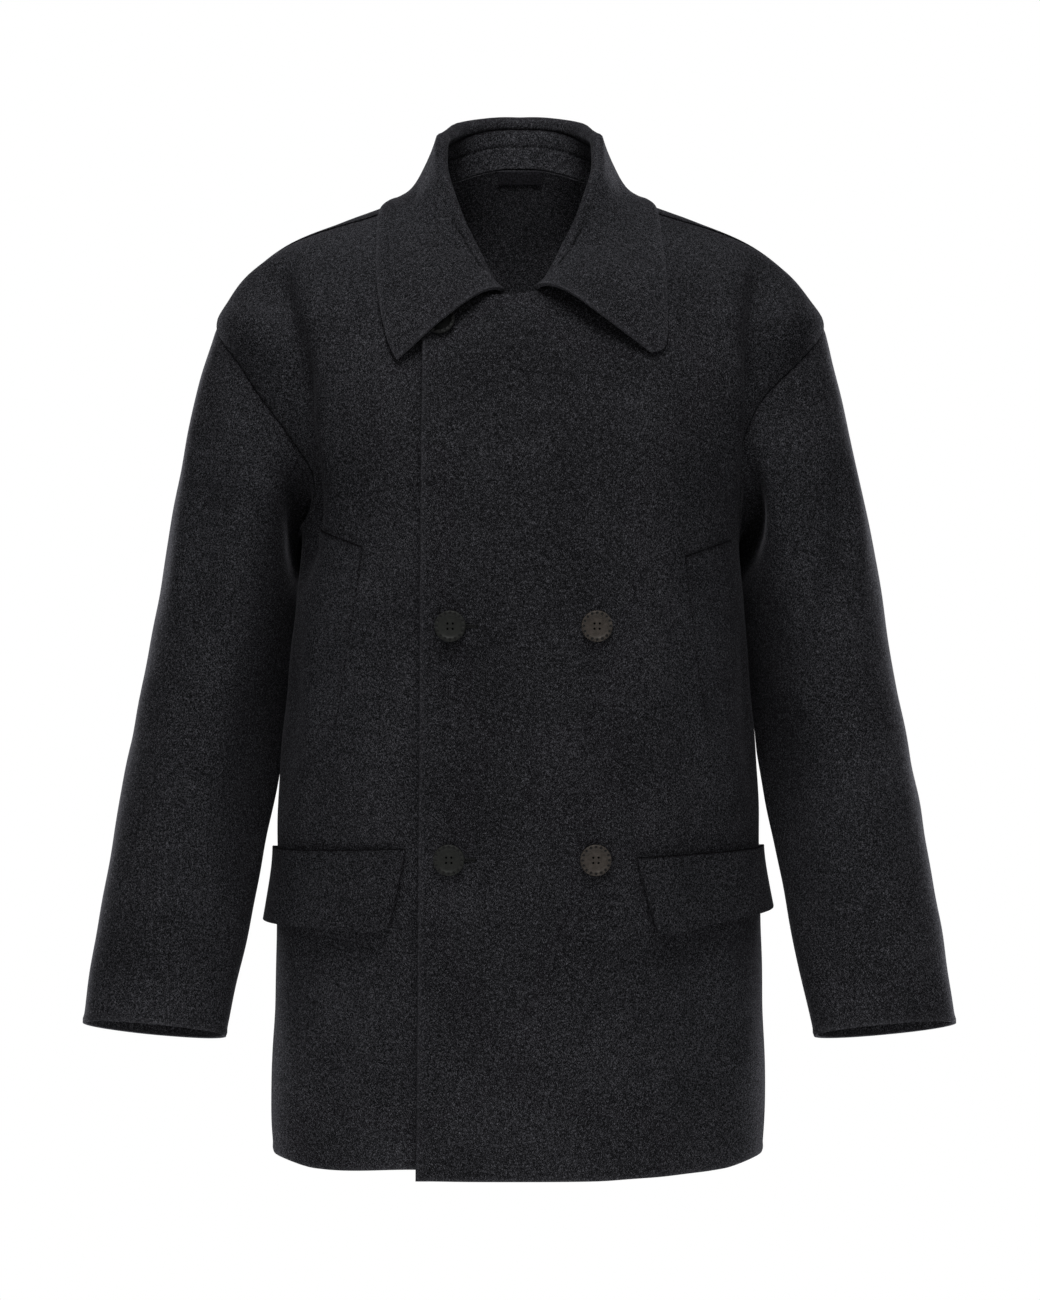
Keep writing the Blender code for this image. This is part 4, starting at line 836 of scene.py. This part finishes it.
def makeSleeve(name, side, material):
    hand = "left" if side > 0 else "right"
    flip = np.array([side, 1.0, 1.0])
    turns = np.arange(sleeve["ringColumns"]) * 360.0 / sleeve["ringColumns"]
    start = armholeRing(turns, -cloth["seamGap"] / 2)
    start = start + formNormal(start) * clothOut(start * flip, noRise)[:, None]
    outer = sleeveRings(turns, start)
    row = np.arange(len(outer))[:, None]
    down = -outer[..., 2]
    drawn = smoothStep(down, *sleeve["drawnFrom"]) * (1 - smoothStep(down, *sleeve["drawnTo"]))
    drawn *= smoothStep(turns, 92.0, 150.0) * (1 - smoothStep(turns, 158.0, 205.0))
    outer[..., 1] += sleeve["drawn"] * drawn * smoothStep(row, 0.0, 10.0)
    under = np.exp(-((turns - 145.0) / 35.0) ** 2)      # the folds start lower on the side of the body
    head = smoothStep(row / sleeve["headRows"], 0.0, 0.30 + 0.4 * under[None, :])
    folds = sleeveFoldDepth(hand, turns[None, :], outer[..., 2])
    folds -= waves(outer, sleeve["unevenSeeds"][hand], sleeve["unevenSizes"], sleeve["unevenHeights"])
    seam, rim = fromEdge(outer, 0, True), fromEdge(outer, 0, False)
    outer = outer - tubeNormals(outer) * (folds * head - seamAndRim(seam, rim))[..., None]
    outer = clearOfBody(outer)
    normal = tubeNormals(outer)
    ringRun = np.roll(outer[0], -1, axis=0) - np.roll(outer[0], 1, axis=0)
    away = unit(np.cross(formNormal(outer[0]), ringRun))
    away *= np.sign(((outer[0].mean(axis=0) - outer[0]) * away).sum(-1, keepdims=True))
    for row, share in enumerate((1.0, 0.8, 0.6, 0.4, 0.2)):     # the turned-in edge stays inside its ring
        into = (normal[row] * away).sum(-1, keepdims=True)
        normal[row] = unit(normal[row] - away * (np.clip(into, 0.0, None) + 0.02) * share)
    inner = outer - normal * cloth["thick"]
    under = armholeRing(turns, sleeve["turningReach"])      # the seam's turnings, pressed flat inside
    sunk = clothOut(under * flip, noRise) - cloth["thick"] - sleeve["turningGap"]
    under = under + formNormal(under) * sunk[:, None]
    turning = np.stack([under, inner[0] - normal[0] * sleeve["turningGap"],
                        inner[6] - normal[6] * sleeve["turningGap"]])
    turned = clothPiece(name + "Turning", turning * flip,
                        (turning - normal[[0, 0, 6]] * cloth["turning"]) * flip, material, wrap=True,
                        edgeRound=cloth["turningRound"])
    # painted shade along the armhole seam, fainter round the top
    shade = cloth["paintedShade"] * seamLine(seam) * (1 - 0.8 * smoothStep(outer[..., 2], -0.17, -0.13))
    return clothPiece(name, outer * flip, inner * flip, material, wrap=True, rim=rim, shade=shade), turned


# the collar: a stand, a roll at the top and a fall that turns down outside it; "turn" runs
# from the centre back to the front, rise and lean place the fold over the neck seam, and the
# edge is where the fall comes down, on the wearer's left and right
collar = {
    "columns": ("turn", "rise", "lean", "leftX", "rightX", "edgeY", "leftZ", "rightZ"),
    "rows": (
        (0, 0.0466, -0.0040, 0.0000, 0.0000, 0.0950, -0.0120, -0.0120),
        (30, 0.0470, 0.0010, 0.0520, 0.0520, 0.0830, -0.0130, -0.0130),
        (50, 0.0454, 0.0115, 0.0790, 0.0790, 0.0600, -0.0143, -0.0143),
        (70, 0.0434, 0.0180, 0.0965, 0.0965, 0.0330, -0.0160, -0.0160),
        (90, 0.0389, 0.0160, 0.1050, 0.1065, 0.0020, -0.0200, -0.0200),
        (115, 0.0340, 0.0110, 0.1150, 0.1170, -0.0350, -0.0460, -0.0460),
        (135, 0.0225, 0.0105, 0.1190, 0.1180, -0.0640, -0.0800, -0.0800),
        (150, 0.0135, 0.0100, 0.1205, 0.1150, -0.0840, -0.1190, -0.1180),
        (161, 0.0080, 0.0060, 0.1185, 0.1070, -0.0990, -0.1530, -0.1510),
        (170, 0.0042, 0.0030, 0.1085, 0.1005, -0.1070, -0.1585, -0.1640),
    ),
    "lastTurn": 169.7, "turns": 104,
    "standRows": 24, "standSeam": 0.90, "topRows": 5, "fallRows": 62,
    "rollRadius": 0.0048, "rollFront": 0.0030, "rollBack": 0.0030, "rollStep": 18,
    "endOver": 0.0030, "endDrop": 0.0072,   # at the front ends the collar sits over the neck edge
    "leaveDown": 2.3, "leaveIn": 0.36, "leaveAside": 0.50, "land": 1.3,     # the bend of the fall
    "lift": cloth["thick"] / 2 + 0.0004,    # from the cloth below to the middle of the collar's
    "puff": {"left": 0.0120, "right": 0.0080},  # how far the lower edge bows away between neck and tip
    "stayRow": 0.52, "stayDeep": 0.0007, "stayWide": 0.0011,    # the faint line along the stand
    "tackFrom": 0.0105, "tackDeep": 0.0007, "tackWide": 0.0010, # the short seam beside the roll at the front
    "standGroove": 0.0008, "grooveWide": 0.0016,                # where the fall is sewn to the stand
    "buttonUnder": (-0.0666, -0.1295), "buttonLift": 0.0052, "buttonReach": 0.034,
}


def squareTo(vectors, others):  # without their part along others
    others = unit(others)
    return unit(vectors - others * (vectors * others).sum(-1, keepdims=True))


def collarHalf(side, rise):  # the middle of the cloth, from the neck seam to the outer edge
    turns = np.linspace(0.0, collar["lastTurn"], collar["turns"])
    names = ("rise", "lean", side + "X", "edgeY", side + "Z")
    up, lean, edgeX, edgeY, edgeZ = (tableCurve(collar, "turn", name)(turns) for name in names)
    flip = np.array([1.0 if side == "left" else -1.0, 1.0, 1.0])

    def below(points):  # the outside of the cloth that the collar lies on
        return clothOut(points * flip, rise)

    seam = neckRing(180.0 - turns, -cloth["seamGap"] / 2)
    front = smoothStep(turns, 120.0, 160.0)
    end = smoothStep(turns, 148.0, 166.0)
    seam += formNormal(seam) * (below(seam) - cloth["seamSink"] + end * collar["endOver"])[:, None]
    seam[:, 2] -= end * collar["endDrop"]
    radius = collar["rollRadius"] + (collar["rollFront"] - collar["rollRadius"]) * front
    radius = np.minimum(radius + collar["rollBack"] * (1 - smoothStep(turns, 25.0, 65.0)), up * 0.55)
    inward = unit(-seam * np.array([1.0, 1.0, 0.0]))
    fold = seam + inward * lean[:, None]
    fold[:, 2] += up - radius
    seam[:, 2] -= cloth["seamGap"]
    run = np.gradient(fold, axis=0)
    run[0] = (1.0, 0.0, 0.0)
    climb = squareTo(squareTo(fold - seam, run), run)
    inward = squareTo(squareTo(inward, run), climb)
    stand = [seam + (fold - seam) * s for s in np.linspace(0.0, collar["standSeam"], collar["standRows"])]
    split = len(stand) - 1
    stand += [seam + (fold - seam) * s for s in np.linspace(collar["standSeam"], 1.0, collar["topRows"])[1:]]
    edge = np.stack([edgeX, edgeY, edgeZ], axis=-1)
    for _ in range(6):
        edge = edge + formNormal(edge) * (below(edge) + collar["lift"] - formDistance(edge))[:, None]
    roll = [fold - inward * (radius * (1 - math.cos(math.radians(a))))[:, None]
            + climb * (radius * math.sin(math.radians(a)))[:, None]
            for a in range(collar["rollStep"], 180, collar["rollStep"])]
    start = roll[-1]
    drop = np.linalg.norm(edge - start, axis=-1, keepdims=True)
    leave = -climb * drop * collar["leaveDown"] + inward * drop * collar["leaveIn"]
    land = (edge - start) / drop
    land = unit(land - formNormal(edge) * (land * formNormal(edge)).sum(-1, keepdims=True))
    land = land * drop * collar["land"]
    out = squareTo(np.array([1.0, 0.0, 0.0]) + 0.0 * start, formNormal(start))
    leave = leave * (1 - front[:, None]) + out * drop * collar["leaveAside"] * front[:, None]
    shares = np.linspace(0.0, 1.0, collar["fallRows"])[1:]
    fall = [start * (1 + 2 * s) * (1 - s) ** 2 + leave * s * (1 - s) ** 2
            + edge * s * s * (3 - 2 * s) - land * s * s * (1 - s) for s in shares]
    grid = np.array(stand + roll + fall)
    fallFrom = len(stand) + len(roll)
    puff = collar["puff"][side] * np.sin(shares ** 0.75 * math.pi)[:, None] * smoothStep(turns, 125.0, 168.0)
    for _ in range(2):
        grid[fallFrom:] = pushClear(grid[fallFrom:], below(grid[fallFrom:]) + collar["lift"] + puff)
    return grid, split, turns


def makeCollar(material, standMaterial):
    left, split, turns = collarHalf("left", lapRise)
    right, _, _ = collarHalf("right", noRise)
    grid = np.concatenate([(right * np.array([-1.0, 1.0, 1.0]))[:, :0:-1], left], axis=1)
    turns = np.concatenate([turns[:0:-1], turns])
    rollFrom = split + collar["topRows"]
    rollTop = rollFrom + 4
    near = np.hypot(grid[..., 0] - collar["buttonUnder"][0], grid[..., 2] - collar["buttonUnder"][1])
    bump = np.exp(-(near / collar["buttonReach"]) ** 2) * collar["buttonLift"]
    bump[:rollFrom] = 0.0
    grid = grid + formNormal(grid) * bump[..., None]
    normal = -gridNormals(grid, False)     # the face that shows: inside the neck, then outside the fall
    fromSeam, fromRoll = fromEdge(grid, 0, True), fromEdge(grid[rollTop:], 0, True)
    length = fromSeam[split]
    fromStay = fromSeam - length * collar["stayRow"] / collar["standSeam"]
    groove = collar["stayDeep"] * np.exp(-(fromStay / collar["stayWide"]) ** 2)
    groove *= (turns < 95)
    tack = collar["tackDeep"] * np.exp(-((fromRoll - collar["tackFrom"]) / collar["tackWide"]) ** 2)
    groove[rollTop:] += tack * smoothStep(turns, 128.0, 136.0) * (1 - smoothStep(turns, 156.0, 160.0))
    groove += collar["standGroove"] * np.exp(-((fromSeam - length) / collar["grooveWide"]) ** 2)
    rim = np.minimum(np.minimum(fromEdge(grid, 0, False), fromEdge(grid, 1, True)), fromEdge(grid, 1, False))
    swell = hemSwell(rim)
    swell[:rollFrom] = 0.0
    half = (cloth["thick"] / 2 + swell - groove)[..., None]
    upper = grid + normal * half
    under = grid - normal * (cloth["thick"] / 2)
    seamShift = unit(grid[split + 1] - grid[split]) * cloth["seamGap"] / 2
    upper[split] += seamShift
    under[split] += seamShift
    standUpper, standUnder = upper[:split + 1].copy(), under[:split + 1].copy()
    standUpper[-1] -= seamShift * 2.4
    standUnder[-1] -= seamShift * 2.4
    # painted shade along the stand's line, the tack and the seam between fall and stand
    shade = np.clip(groove / collar["stayDeep"], 0.0, 1.0) * 0.8
    standPiece = clothPiece("collarStand", standUpper, standUnder, standMaterial, edgeRound=0.0006,
                            shade=shade[:split + 1])
    fallPiece = clothPiece("collarFall", upper[split:], under[split:], material, rim=rim[split:],
                           shade=shade[split:])
    return standPiece, fallPiece


# pocket flaps that wrap from the front to the side, and slanted welts above them
flap = {
    # x at the inner end, y at the outer end, and four heights: inner top, inner low, outer top, outer low
    "left": (0.0955, 0.1130, -0.010, -0.5770, -0.6440, -0.5730, -0.6260),
    "right": (0.0945, 0.1080, -0.010, -0.5700, -0.6400, -0.5740, -0.6370),
    "widest": 0.206, "standOff": 0.0070, "ease": 0.0006, "cornerRound": 0.004, "thick": 0.0042,
    "high": 0.067, "wide": 0.11, "columns": 64, "rows": 44,     # rough size, for the rounding of the corners
}
welt = {
    # top x and height of the inner corner, its low corner, width, how much the outer end is higher
    "left": (0.1370, -0.3260, 0.1580, -0.4780, 0.040, 0.0150),
    "right": (0.1320, -0.3180, 0.1540, -0.4700, 0.040, 0.0160),
    "raisedTop": 0.020, "raisedSide": 0.006, "pressed": 0.0006,     # the rest is pressed flush
    "columns": 24, "rows": 70,
}
label = {"width": 0.040, "drop": 0.0115, "fromSeam": 0.0012, "thick": 0.0008, "columns": 26, "rows": 10}


def makeFlap(side, rise, material):
    hand = "left" if side > 0 else "right"
    innerTop, innerLow, outerY, zInTop, zInLow, zOutTop, zOutLow = flap[hand]
    v = np.linspace(0.0, 1.0, flap["rows"])[:, None]
    u = np.linspace(0.0, 1.0, flap["columns"])[None, :]
    innerX = innerTop + (innerLow - innerTop) * v
    height = zInTop + (zInLow - zInTop) * v + 0 * u
    for _ in range(4):
        square = squareAt(height)
        outerTurn = np.degrees(np.arccos((abs(outerY) / frontAt(height)) ** (square / 2)))
        turn = turnAt(innerX + 0 * u, height) * (1 - u) + outerTurn * u
        x = formPoint(turn, height)[..., 0]
        topAt = zInTop + (zOutTop - zInTop) * (x - innerTop) / (flap["widest"] - innerTop)
        lowAt = zInLow + (zOutLow - zInLow) * (x - innerLow) / (flap["widest"] - innerLow)
        height = topAt + (lowAt - topAt) * v
    corner = flap["cornerRound"]
    inset = corner * np.clip(1 - (1 - v) * flap["high"] / corner, 0.0, 1.0) ** 2    # the lower corners
    height = height + inset * np.exp(-(u * flap["wide"] / corner) ** 2)
    base = formPoint(turn * side, height)
    normal = formNormal(base)
    away = flap["standOff"] * v ** 1.5 * (0.5 + 2.4 * np.abs(base[..., 0]))
    near = clothOut(base, rise) + cloth["seamGap"] + away
    near = near + np.clip(flap["ease"] * np.sin(u * 9.0 + side) * v, 0.0, None)
    # painted shade along the flap's top edge
    return clothPiece("flap" + hand.capitalize(), base + normal * (near + flap["thick"])[..., None],
                      base + normal * near[..., None], material, shade=seamLine(fromEdge(base, 0, True)))


def makeWelt(side, rise, material):
    hand = "left" if side > 0 else "right"
    topX, topZ, lowX, lowZ, wide, slant = welt[hand]
    v = np.linspace(0.0, 1.0, welt["rows"])[:, None]
    u = np.linspace(0.0, 1.0, welt["columns"])[None, :]
    x = topX + (lowX - topX) * v + wide * u
    height = topZ + (lowZ - topZ) * v + slant * u
    base = formPoint(turnAt(x * side, height), height)
    normal = formNormal(base)
    top, inside = fromEdge(base, 0, True), fromEdge(base, 1, True)
    raised = np.exp(-(top / welt["raisedTop"]) ** 2) + 0.45 * np.exp(-(inside / welt["raisedSide"]) ** 2)
    flush = (cloth["trimThick"] + welt["pressed"]) * (1 - np.clip(raised, 0.0, 1.0))
    near = clothOut(base, rise) + cloth["seamGap"] - flush
    # painted shadow along the welt's top edge and fainter painted shade along its inner edge
    return clothPiece("welt" + hand.capitalize(), base + normal * (near + cloth["trimThick"])[..., None],
                      base + normal * near[..., None], material, edgeRound=0.0008,
                      shade=np.maximum(seamLine(top * 0.5), 0.35 * seamLine(inside)))


def makeLabel(material):
    top = neckRing(np.array([180.0]))[0, 2] - label["fromSeam"]
    height = np.linspace(top, top - label["drop"], label["rows"])[:, None]
    x = np.linspace(-0.5, 0.5, label["columns"])[None, :] * label["width"]
    turn = 180.0 - turnAt(x, height)
    base = formPoint(turn, height)
    normal = formNormal(base)
    near = clothOut(base, noRise) - cloth["thick"] - cloth["seamGap"]
    return clothPiece("neckLabel", base + normal * near[..., None],
                      base + normal * (near - label["thick"])[..., None], material, edgeRound=0.0002)


def turnedShape(name):  # the profile turned round its axis, with a ring of dots sunk in the rim
    profile, radius, thick = button["profile"], button["radius"], button["thick"]
    steps = button["rimDots"] * 8
    count = len(profile) - 2
    points, faces = [(0.0, 0.0, 0.0)], []
    for r, h in profile[1:-1]:
        for k in range(steps):
            angle = math.tau * k / steps
            nearest = abs((k + 4) % 8 - 4) / 4 * math.pi / button["rimDots"] * r * radius
            aside = (r - button["dotRing"]) * radius
            pit = math.exp(-(math.hypot(nearest, aside) / button["dotRadius"]) ** 4)
            pit = pit if h > button["rimFrom"] else 0.0
            points.append((r * radius * math.cos(angle), r * radius * math.sin(angle),
                           h * thick - button["dotDeep"] * pit))
    points.append((0.0, 0.0, profile[-1][1] * thick))
    last = 1 + (count - 1) * steps
    for k in range(steps):
        n = (k + 1) % steps
        faces.append((0, 1 + n, 1 + k))
        for row in range(count - 1):
            a, b = 1 + row * steps, 1 + (row + 1) * steps
            faces.append((a + k, a + n, b + n, b + k))
        faces.append((last + k, last + n, len(points) - 1))
    return makeMesh(name, np.array(points), faces)


def drillHoles(piece):
    cutter = bpy.data.meshes.new("holes")
    shape = bmesh.new()
    span = button["holeSpan"] / math.sqrt(2)
    for k in range(4):
        quarter = math.radians(45 + 90 * k)
        at = Matrix.Translation((math.cos(quarter) * span, math.sin(quarter) * span, 0.002))
        bmesh.ops.create_cone(shape, cap_ends=True, segments=20, radius1=button["holeRadius"],
                              radius2=button["holeRadius"], depth=0.02, matrix=at)
    shape.to_mesh(cutter)
    shape.free()
    holes = bpy.data.objects.new("holes", cutter)
    bpy.context.scene.collection.objects.link(holes)
    cut = piece.modifiers.new("holes", "BOOLEAN")
    cut.object, cut.operation, cut.solver = holes, "DIFFERENCE", "EXACT"
    bpy.context.view_layer.update()
    done = bpy.data.meshes.new_from_object(piece.evaluated_get(bpy.context.evaluated_depsgraph_get()))
    piece.modifiers.clear()
    piece.data = done
    bpy.data.objects.remove(holes, do_unlink=True)
    done.set_sharp_from_angle(angle=math.radians(48))


def makeButton(name, x, height, material):  # turned flat, a low rim, four holes and a ring of dots
    piece = turnedShape(name)
    piece.data.materials.append(material)
    drillHoles(piece)
    places = np.array([vertex.co for vertex in piece.data.vertices])
    around = np.degrees(np.arctan2(places[:, 1], places[:, 0])) * button["rimDots"] / 360
    ring = np.hypot(places[:, 0], places[:, 1])
    aside = np.hypot((around - np.round(around)) * math.tau * ring / button["rimDots"],
                     ring - button["dotRing"] * button["radius"])
    dots = np.clip(3.0 * np.exp(-(aside / button["dotRadius"]) ** 4), 0.0, 1.0)
    dots = dots * (places[:, 2] > button["rimFrom"] * button["thick"])
    piece.data.attributes.new("rimDot", "FLOAT", "POINT").data.foreach_set("value", dots)
    at = formPoint(turnAt(x, height), height)
    normal = formNormal(at)
    seat = Matrix.Translation(Vector(at + normal * (clothOut(at, lapRise) + button["shank"])))
    piece.matrix_world = seat @ Vector(normal).to_track_quat("Z", "Y").to_matrix().to_4x4()
    return piece


# worked buttonholes: a slit with a purled thread edge that runs from under the button
buttonhole = {
    "from": -0.0030, "to": 0.0218, "halfWidth": 0.0009, "thread": 0.00070,
    "purlMm": 0.9, "purl": 0.22, "steps": 160, "sides": 8, "proud": 0.0002,
}


def makeButtonhole(name, x, height, material):
    along = np.linspace(0.0, math.tau, buttonhole["steps"] + 1)[:-1]
    middle, half = (buttonhole["from"] + buttonhole["to"]) / 2, (buttonhole["to"] - buttonhole["from"]) / 2
    cos, sin = np.cos(along), np.sin(along)
    pathX = x + middle + np.clip(cos * half * 1.25, -half, half)
    pathZ = height + buttonhole["halfWidth"] * np.sign(sin) * np.abs(sin) ** 0.6
    base = formPoint(turnAt(pathX, pathZ), pathZ)
    normal = formNormal(base)
    middles = base + normal * (clothOut(base, lapRise) + buttonhole["proud"])[:, None]
    run = unit(np.roll(middles, -1, axis=0) - np.roll(middles, 1, axis=0))
    across = np.cross(run, normal)
    rings = []
    twist = along * half * 4 / (buttonhole["purlMm"] / 1000)
    for angle in np.linspace(0.0, math.tau, buttonhole["sides"] + 1)[:-1]:
        purl = buttonhole["thread"] * (1 + buttonhole["purl"] * np.sin(twist + angle))
        rings.append(middles + (across * math.cos(angle) + normal * math.sin(angle)) * purl[:, None])
    grid = np.array(rings).transpose(1, 0, 2)
    rows, columns = grid.shape[:2]
    faces = []
    for i in range(rows):
        near, far = i * columns, (i + 1) % rows * columns
        for j in range(columns):
            k = (j + 1) % columns
            faces.append((near + j, near + k, far + k, far + j))
    piece = makeMesh(name, grid.reshape(-1, 3), faces)
    piece.data.materials.append(material)
    return piece


# make every piece, attach it to the body and hide the solids it stands for
buttonRows = {"Upper": -0.3848, "Lower": -0.5790}   # their heights
buttonInset, buttonApart = 0.0255, 0.1205           # from the lapped edge to the first, and on to the next
back = dress(makeBack(bodyMelton, insideMeltonPaintedLight), "melton", "back")
frontOver = dress(makeFront("frontOver", 1, lambda z: -frontEdge(z), lapRise, body["lapHemDrop"], bodyMelton),
                  "melton", "front_over")
frontUnder = dress(makeFront("frontUnder", -1, lambda z: body["underLap"] + 0 * z, noRise, 0.0, underMeltonPaintedLight),
                   "melton", "front_under")
dress(makeSideTurning("sideTurningLeft", 1, insideMeltonPaintedLight), "melton")
dress(makeSideTurning("sideTurningRight", -1, insideMeltonPaintedLight), "melton")
print("fronts and back made")
sleeveLeft, turningLeft = makeSleeve("sleeveLeft", 1, sleeveMeltonPaintedLight)
sleeveRight, turningRight = makeSleeve("sleeveRight", -1, sleeveMeltonPaintedLight)
dress(sleeveLeft, "melton", "sleeve_left")
dress(sleeveRight, "melton", "sleeve_right")
dress(turningLeft, "melton")
dress(turningRight, "melton")
print("sleeves made")
collarStand, collarFall = makeCollar(collarMeltonPaintedLight, standMeltonPaintedLight)
dress(collarStand, "melton", "collar_stand")
dress(collarFall, "melton", "collar")
print("collar made")
flapLeft = dress(makeFlap(1, lapRise, trimMeltonPaintedShade), "melton", "flap_left")
flapRight = dress(makeFlap(-1, noRise, trimMeltonPaintedShade), "melton", "flap_right")
weltLeft = dress(makeWelt(1, lapRise, bodyMelton), "melton", "welt_left")
weltRight = dress(makeWelt(-1, noRise, underMeltonPaintedLight), "melton", "welt_right")
neckLabel = dress(makeLabel(tapeMaterial), "tape", "label")
print("pockets and label made")
for row, rowHeight in buttonRows.items():
    column = frontEdge(rowHeight) + buttonInset
    node = "button_" + row.lower()
    dress(makeButton("button" + row + "Right", column, rowHeight, darkButton), "horn", node + "_right")
    dress(makeButton("button" + row + "Left", column + buttonApart, rowHeight, paleButton), "horn",
          node + "_left")
    dress(makeButtonhole("buttonhole" + row, column, rowHeight, threadMaterial), "melton")
dress(makeButton("buttonNeck", *collar["buttonUnder"], shadedButton), "horn", "button_neck")
print("buttons made")


# floor, light and camera
studio = {
    "floorHeight": -1.27, "floorSize": 2.6, "floorColour": "#ececec",
    "cameraBack": 3.2, "cameraHeight": -0.4045, "cameraAside": 0.0004, "lens": 101.87,
    "ambient": 0.24,
    # name, place, aimed at, size, watts
    "lamps": (
        ("overhead", (-0.10, -1.50, 2.60), (0.0, 0.0, -0.40), 1.2, 95.0),
        ("rimLeft", (-1.7, 1.7, 0.0), (-0.2, 0.0, -0.4), 1.2, 165.0),
        ("rimRight", (1.7, 1.7, -0.2), (0.2, 0.0, -0.4), 1.2, 185.0),
        ("lowFill", (0.7, -1.5, -1.15), (0.1, 0.0, -0.85), 0.8, 2.2),
        ("neckFill", (0.0, -0.35, 0.95), (0.0, 0.06, 0.03), 0.4, 2.8),
    ),
}
floorMesh = bpy.data.meshes.new("floor")
shape = bmesh.new()
bmesh.ops.create_circle(shape, cap_ends=True, segments=96, radius=studio["floorSize"] / 2)
shape.to_mesh(floorMesh)
shape.free()
floorPiece = bpy.data.objects.new("floor", floorMesh)
floorPiece.location = (0.0, 0.0, studio["floorHeight"])
bpy.context.scene.collection.objects.link(floorPiece)
floorMaterial, tree = newMaterial("paintedFloor")  # matt white emulsion, a faint roller texture
place = addNode(tree, "ShaderNodeTexCoord").outputs["Object"]
roller = addNode(tree, "ShaderNodeTexNoise", {"Scale": 400.0, "Detail": 3.0}, {"Vector": place})
bump = addNode(tree, "ShaderNodeBump", {"Strength": 0.1, "Distance": 0.0004}, {"Height": roller})
shader = addNode(tree, "ShaderNodeBsdfPrincipled",
                 {"Base Color": linear(studio["floorColour"]), "Roughness": 0.8}, {"Normal": bump})
addNode(tree, "ShaderNodeOutputMaterial", {}, {"Surface": shader})
floorMesh.materials.append(floorMaterial)

world = bpy.data.worlds.new("softStudio")
bpy.context.scene.world = world
world.use_nodes = True
tree = world.node_tree
tree.nodes.clear()
ray = addNode(tree, "ShaderNodeLightPath")
seen = addNode(tree, "ShaderNodeMath", {"operation": "MAXIMUM"},
               {0: ray.outputs["Is Camera Ray"], 1: ray.outputs["Is Glossy Ray"]})
seenToo = addNode(tree, "ShaderNodeMath", {"operation": "MAXIMUM"},
                  {0: seen, 1: ray.outputs["Is Transmission Ray"]})
room = addNode(tree, "ShaderNodeBackground", {"Color": (1, 1, 1, 1), "Strength": studio["ambient"]})
backdrop = addNode(tree, "ShaderNodeBackground", {"Color": (1, 1, 1, 1), "Strength": 1.0})
both = addNode(tree, "ShaderNodeMixShader", {}, {0: seenToo, 1: room, 2: backdrop})
addNode(tree, "ShaderNodeOutputWorld", {}, {"Surface": both})

for name, place, aim, size, watts in studio["lamps"]:
    lamp = bpy.data.lights.new(name, "AREA")
    lamp.shape = "SQUARE"
    lamp.size = size
    lamp.energy = watts
    holder = bpy.data.objects.new(name, lamp)
    holder.location = place
    holder.rotation_euler = (Vector(aim) - Vector(place)).to_track_quat("-Z", "Y").to_euler()
    bpy.context.scene.collection.objects.link(holder)

cameraData = bpy.data.cameras.new("frontCamera")
cameraData.sensor_fit = "VERTICAL"
cameraData.sensor_height = 36.0
cameraData.lens = studio["lens"]
camera = bpy.data.objects.new("frontCamera", cameraData)
camera.location = (studio["cameraAside"], -studio["cameraBack"], studio["cameraHeight"])
camera.rotation_euler = (math.radians(90), 0.0, 0.0)
bpy.context.scene.collection.objects.link(camera)
bpy.context.scene.camera = camera
bpy.context.scene.view_settings.view_transform = "Standard"
print("floor, light and camera set")
